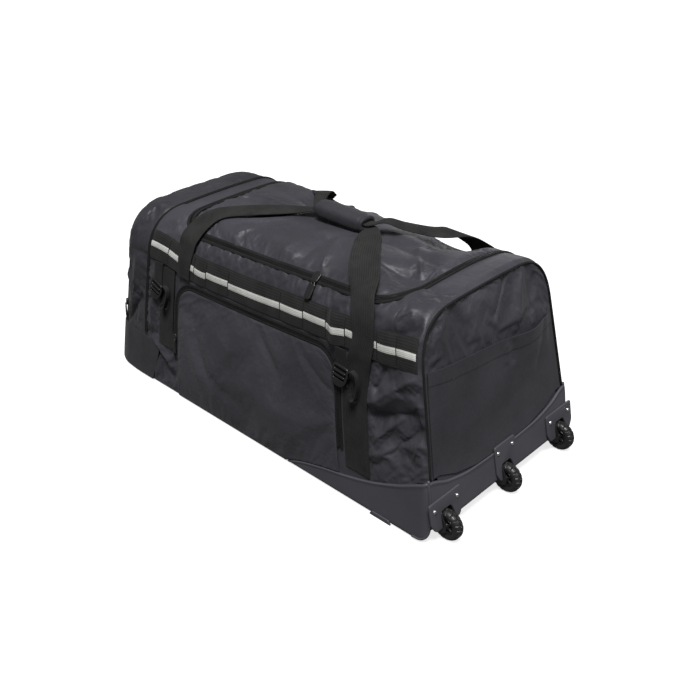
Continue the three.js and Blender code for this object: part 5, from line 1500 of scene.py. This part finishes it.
def build_wheel(wheel):
    body = f"wheel_{wheel['name']}"
    middle = np.array([AXLE_X, wheel["y"], AXLE_Z])
    place = (middle, UPRIGHT_AXES)
    build_tyre(f"tyre_{wheel['name']}", body, middle)
    loops = [circle(HUB_RADIUS - 1.6, 48), circle(AXLE_RADIUS + 0.35, 24)]
    wedge = [(6.6, -0.34), (14.2, -0.44), (14.2, 0.44), (6.6, 0.34)]
    for turn in np.arange(SPOKES) * 2 * math.pi / SPOKES:
        corners = [(r * math.cos(turn + a), r * math.sin(turn + a)) for r, a in wedge]
        loops.append(round_corners(corners, 2.0, 4))
    hub = f"hub_{wheel['name']}"
    plate(f"{hub}_spokes", loops, HUB_DEPTH - 4, 0.6, place, "plastic", (hub,), body)
    half = HUB_DEPTH / 2
    rim = [(HUB_RADIUS, -half), (HUB_RADIUS, half), (HUB_RADIUS - 0.8, half + 0.5),
           (HUB_RADIUS - 2, half), (HUB_RADIUS - 2, -half), (HUB_RADIUS - 0.8, -half - 0.5)]
    ring(f"{hub}_rim", rim, place, "plastic", body)
    axle = f"axle_{wheel['name']}"
    length = WELL_HALF - GAP
    turned = [(3.2, -length), (AXLE_RADIUS, 0.8 - length), (AXLE_RADIUS, length - 0.8), (3.2, length)]
    lathe(f"{axle}_pin", turned, place, "steel", (axle,))


SKID_X = 338.0
SKID_HALF = 26.0
SKID_HEIGHT = 9.0
SKID_TAPER = 6.0


def build_skids():
    inner = SKID_HALF - SKID_TAPER
    outline = [(-SKID_HALF, 0), (SKID_HALF, 0), (inner, SKID_HEIGHT), (-inner, SKID_HEIGHT)]
    for name, side in (("skid_foot_front", -1), ("skid_foot_back", 1)):
        place = ((SKID_X, side * (FLOOR_HALF + GAP), 0), UPRIGHT_AXES)
        plate(f"{name}_block", [round_corners(outline, 3)], 3.0, 0.8, place, "base", (name,))


for wheel in WHEELS:
    build_housing(wheel)
    build_wheel(wheel)
build_skids()

# Ladder-lock buckles with their straps and tails
BUCKLES = [
    {"name": "left", "station": LEFT_BUCKLE, "strap_lift": 6.2, "strap_rise": 0.0, "stand": 6.8,
     "tail_gap": 2.0},
    {"name": "right", "station": 262.0, "strap_lift": 6.0, "strap_rise": 5.2, "stand": 8.4,
     "tail_gap": 3.3},
]
BUCKLE_GIRTH = 250.0
BUCKLE_HALF_WIDE = 22.0
BUCKLE_HALF_HIGH = 24.0
BUCKLE_THICKNESS = 5.0
BUCKLE_SLOTS = ((12.5, 14.0), (3.8, 14.5), (-5.0, 12.5))
BUCKLE_LEAN = math.radians(14)
STRAP_HALF = 14.0
RISE_FROM = 262.0


def rectangle(half_wide, half_high, middle=0.0):
    return [(-half_wide, middle - half_high), (half_wide, middle - half_high),
            (half_wide, middle + half_high), (-half_wide, middle + half_high)]


def wall_axes(station, girth, reach):
    """Across, up and out on the plain wall, from its slope within reach of a girth."""
    out = section_normal(np.array(station), np.array(girth))
    up = unit(section(station, girth + reach) - section(station, girth - reach))
    return np.array([unit(np.cross(up, out)), up, out])


def buckle_place(row):
    """Origin and axes (across, up, out) of a buckle's back face, which leans towards the wheels."""
    across, up, out = wall_axes(row["station"], BUCKLE_GIRTH, BUCKLE_HALF_HIGH)
    lean_up = up * math.cos(BUCKLE_LEAN) + across * math.sin(BUCKLE_LEAN)
    axes = np.array([unit(np.cross(lean_up, out)), lean_up, out])
    return surface(row["station"], BUCKLE_GIRTH, row["stand"]), axes


def build_buckle(row):
    """A ladder-lock: a rounded frame with three slots and two raised bars, with its strap and tail."""
    origin, axes = buckle_place(row)
    outline = [(-18, 20), (18, 20), (20, 6), (16, -13), (8, -22), (-8, -22), (-16, -13), (-20, 6)]
    loops = [round_corners(outline, 6)]
    loops += [round_corners(rectangle(half, 2.7, middle), 1.6) for middle, half in BUCKLE_SLOTS]
    middle = origin + axes[2] * BUCKLE_THICKNESS / 2
    name = f"buckle_{row['name']}"
    plate(f"{name}_frame", loops, BUCKLE_THICKNESS, 1.5, (middle, axes), "plastic", (name,))
    bar = round_corners(rectangle(13.5, 1.9, 0.0), 1.5)
    for end, high in (("upper", 8.2), ("lower", -0.6)):
        raised = middle + axes[1] * high + axes[2] * (BUCKLE_THICKNESS / 2 + 0.4)
        plate(f"{name}_bar_{end}", [bar], 2.4, 0.9, (raised, axes), "plastic")
    top = float(band_girth(row["station"])) - BAND_HALF - 2
    girth = np.linspace(BUCKLE_GIRTH - 20, top, 40)
    rise = row["strap_rise"] * np.clip((girth - RISE_FROM) / (top - RISE_FROM), 0, 1)
    path = np.column_stack([np.full(40, row["station"]), girth, rise])
    profile = flat_profile(STRAP_HALF, row["strap_lift"], row["strap_lift"] - WEBBING)
    strap = f"buckle_strap_{row['name']}"
    strip(f"{strap}_webbing", path, profile, "webbing", (strap,))
    build_tail(row)


def build_tail(row):
    """The strap's narrow end, standing on edge in an open loop beside the buckle."""
    side = BUCKLE_HALF_WIDE + WEBBING / 2 + row["tail_gap"]
    lift = row["stand"] + BUCKLE_THICKNESS / 2

    def at(along, girth, raise_by):
        return surface(row["station"] + along, BUCKLE_GIRTH + girth, lift + raise_by)

    edge = (0.0, -1.0, 0.1)
    places = [(-2, 12, 0, 4.5), (10, 19, 4, 5), (21, 15, 5, 5), (24, 0, 5, 5), (19, -18, 4, 5),
              (12, -33, 3, 5), (3, -36, 2, 5), (-1, -26, 2, 5)]
    rows = [(at(side + along, girth, up), edge, half) for along, girth, up, half in places]
    tail = f"buckle_tail_{row['name']}"
    ribbon(f"{tail}_webbing", rows, (tail,), count=80)


for row in BUCKLES:
    build_buckle(row)

# Zip sliders with their hanging pulls
PULLS = [
    {"name": "lid_zip_pull", "station": 164.0, "girth": LID_FRONT - 2, "lift": 2.7, "size": 1.5},
    {"name": "pocket_zip_pull", "station": POCKET_LEFT - ZIP_BESIDE, "girth": 150.0, "lift": 2.7,
     "size": 1.1},
    {"name": "left_end_zip_pull", "station": -458.0, "girth": 162.0, "lift": 0.3, "size": 1.0},
]


def build_pull(row):
    """A slider body with a flat tab that hangs from it."""
    station = row["station"]
    girth = row["girth"] + 4
    axes = wall_axes(station, girth, 5.0)
    origin = surface(station, girth, row["lift"] + 2.0)
    size = row["size"]
    slider = size * np.array([(-5, -7), (5, -7), (6, 3), (3.5, 7), (-3.5, 7), (-6, 3)])
    name = row["name"]
    plate(f"{name}_slider", [round_corners(slider, 2)], 3.6, 0.9, (origin, axes), "plastic", (name,))
    hang = surface(station, girth - 22, row["lift"] + 3.4)
    tab_up = unit(origin + axes[2] * 3.0 - hang)
    tab_axes = np.array([axes[0], tab_up, unit(np.cross(axes[0], tab_up))])
    tab = np.array([(-3, 16), (3, 16), (5, 8), (5, -14), (3.5, -18), (-3.5, -18), (-5, -14), (-5, 8)])
    loops = [round_corners(tab * np.array([size, 1.0]), 2), circle(1.5, 16, (0, 12.5))]
    plate(f"{name}_tab", loops, 2.6, 0.7, (hang, tab_axes), "plastic")


for row in PULLS:
    build_pull(row)

# Floor and light
FLOOR = {"half": 30.0, "z": -0.0005, "grey": 0.3, "glow": 0.75}


def build_stage():
    half = FLOOR["half"]
    mesh = bpy.data.meshes.new("floor")
    corners = [(-half, -half, 0), (half, -half, 0), (half, half, 0), (-half, half, 0)]
    mesh.from_pydata(corners, [], [(0, 1, 2, 3)])
    look = Look("pale_floor", 0.8, specular=0.1)
    look.inputs["Base Color"].default_value = (FLOOR["grey"], FLOOR["grey"], FLOOR["grey"], 1.0)
    look.inputs["Emission Color"].default_value = (1.0, 1.0, 1.0, 1.0)
    look.inputs["Emission Strength"].default_value = FLOOR["glow"]
    mesh.materials.append(look.material)
    floor = bpy.data.objects.new("floor", mesh)
    floor.location.z = FLOOR["z"]
    floor.visible_diffuse = False
    floor.visible_glossy = False
    bpy.context.scene.collection.objects.link(floor)


LIGHTS = [
    {"name": "overhead", "at": (0.1, -0.2, 2.4), "aim": (0.0, 0.0, 0.3), "size": 1.0, "power": 9},
    {"name": "front", "at": (0.5, -2.2, 1.9), "aim": (0.1, 0.0, 0.2), "size": 0.7, "power": 9},
    {"name": "right", "at": (2.4, 0.8, 1.7), "aim": (0.2, 0.0, 0.25), "size": 0.8, "power": 17},
    {"name": "behind", "at": (-1.3, 2.8, 0.9), "aim": (0.0, 0.0, 0.2), "size": 1.0, "power": 5},
]
SUN = {"turn": (math.radians(17), math.radians(15), 0.0), "strength": 5.6, "spread": math.radians(22)}

WORLD_STRENGTH = 0.16


def build_lights():
    for row in LIGHTS:
        data = bpy.data.lights.new(row["name"], "AREA")
        data.size = row["size"]
        data.energy = row["power"]
        light = bpy.data.objects.new(row["name"], data)
        light.location = row["at"]
        aim = np.array(row["aim"]) - np.array(row["at"])
        flat = math.hypot(aim[0], aim[1])
        light.rotation_euler = (math.atan2(flat, -aim[2]), 0.0, math.atan2(aim[1], aim[0]) - math.pi / 2)
        bpy.context.scene.collection.objects.link(light)
    data = bpy.data.lights.new("sun", "SUN")
    data.energy = SUN["strength"]
    data.angle = SUN["spread"]
    sun = bpy.data.objects.new("sun", data)
    sun.rotation_euler = SUN["turn"]
    bpy.context.scene.collection.objects.link(sun)
    world = bpy.data.worlds.new("studio")
    world.use_nodes = True
    background = world.node_tree.nodes["Background"]
    background.inputs["Color"].default_value = (1.0, 1.0, 1.0, 1.0)
    background.inputs["Strength"].default_value = WORLD_STRENGTH
    bpy.context.scene.world = world
    bpy.context.scene.view_settings.view_transform = "Standard"


build_stage()
build_lights()

for row in frame["record"]["subparts"]:
    piece = frame["nodes"][row["node"]]
    piece.data.materials.clear()
    piece.data.materials.append(MATERIALS[row["material_slot"]])
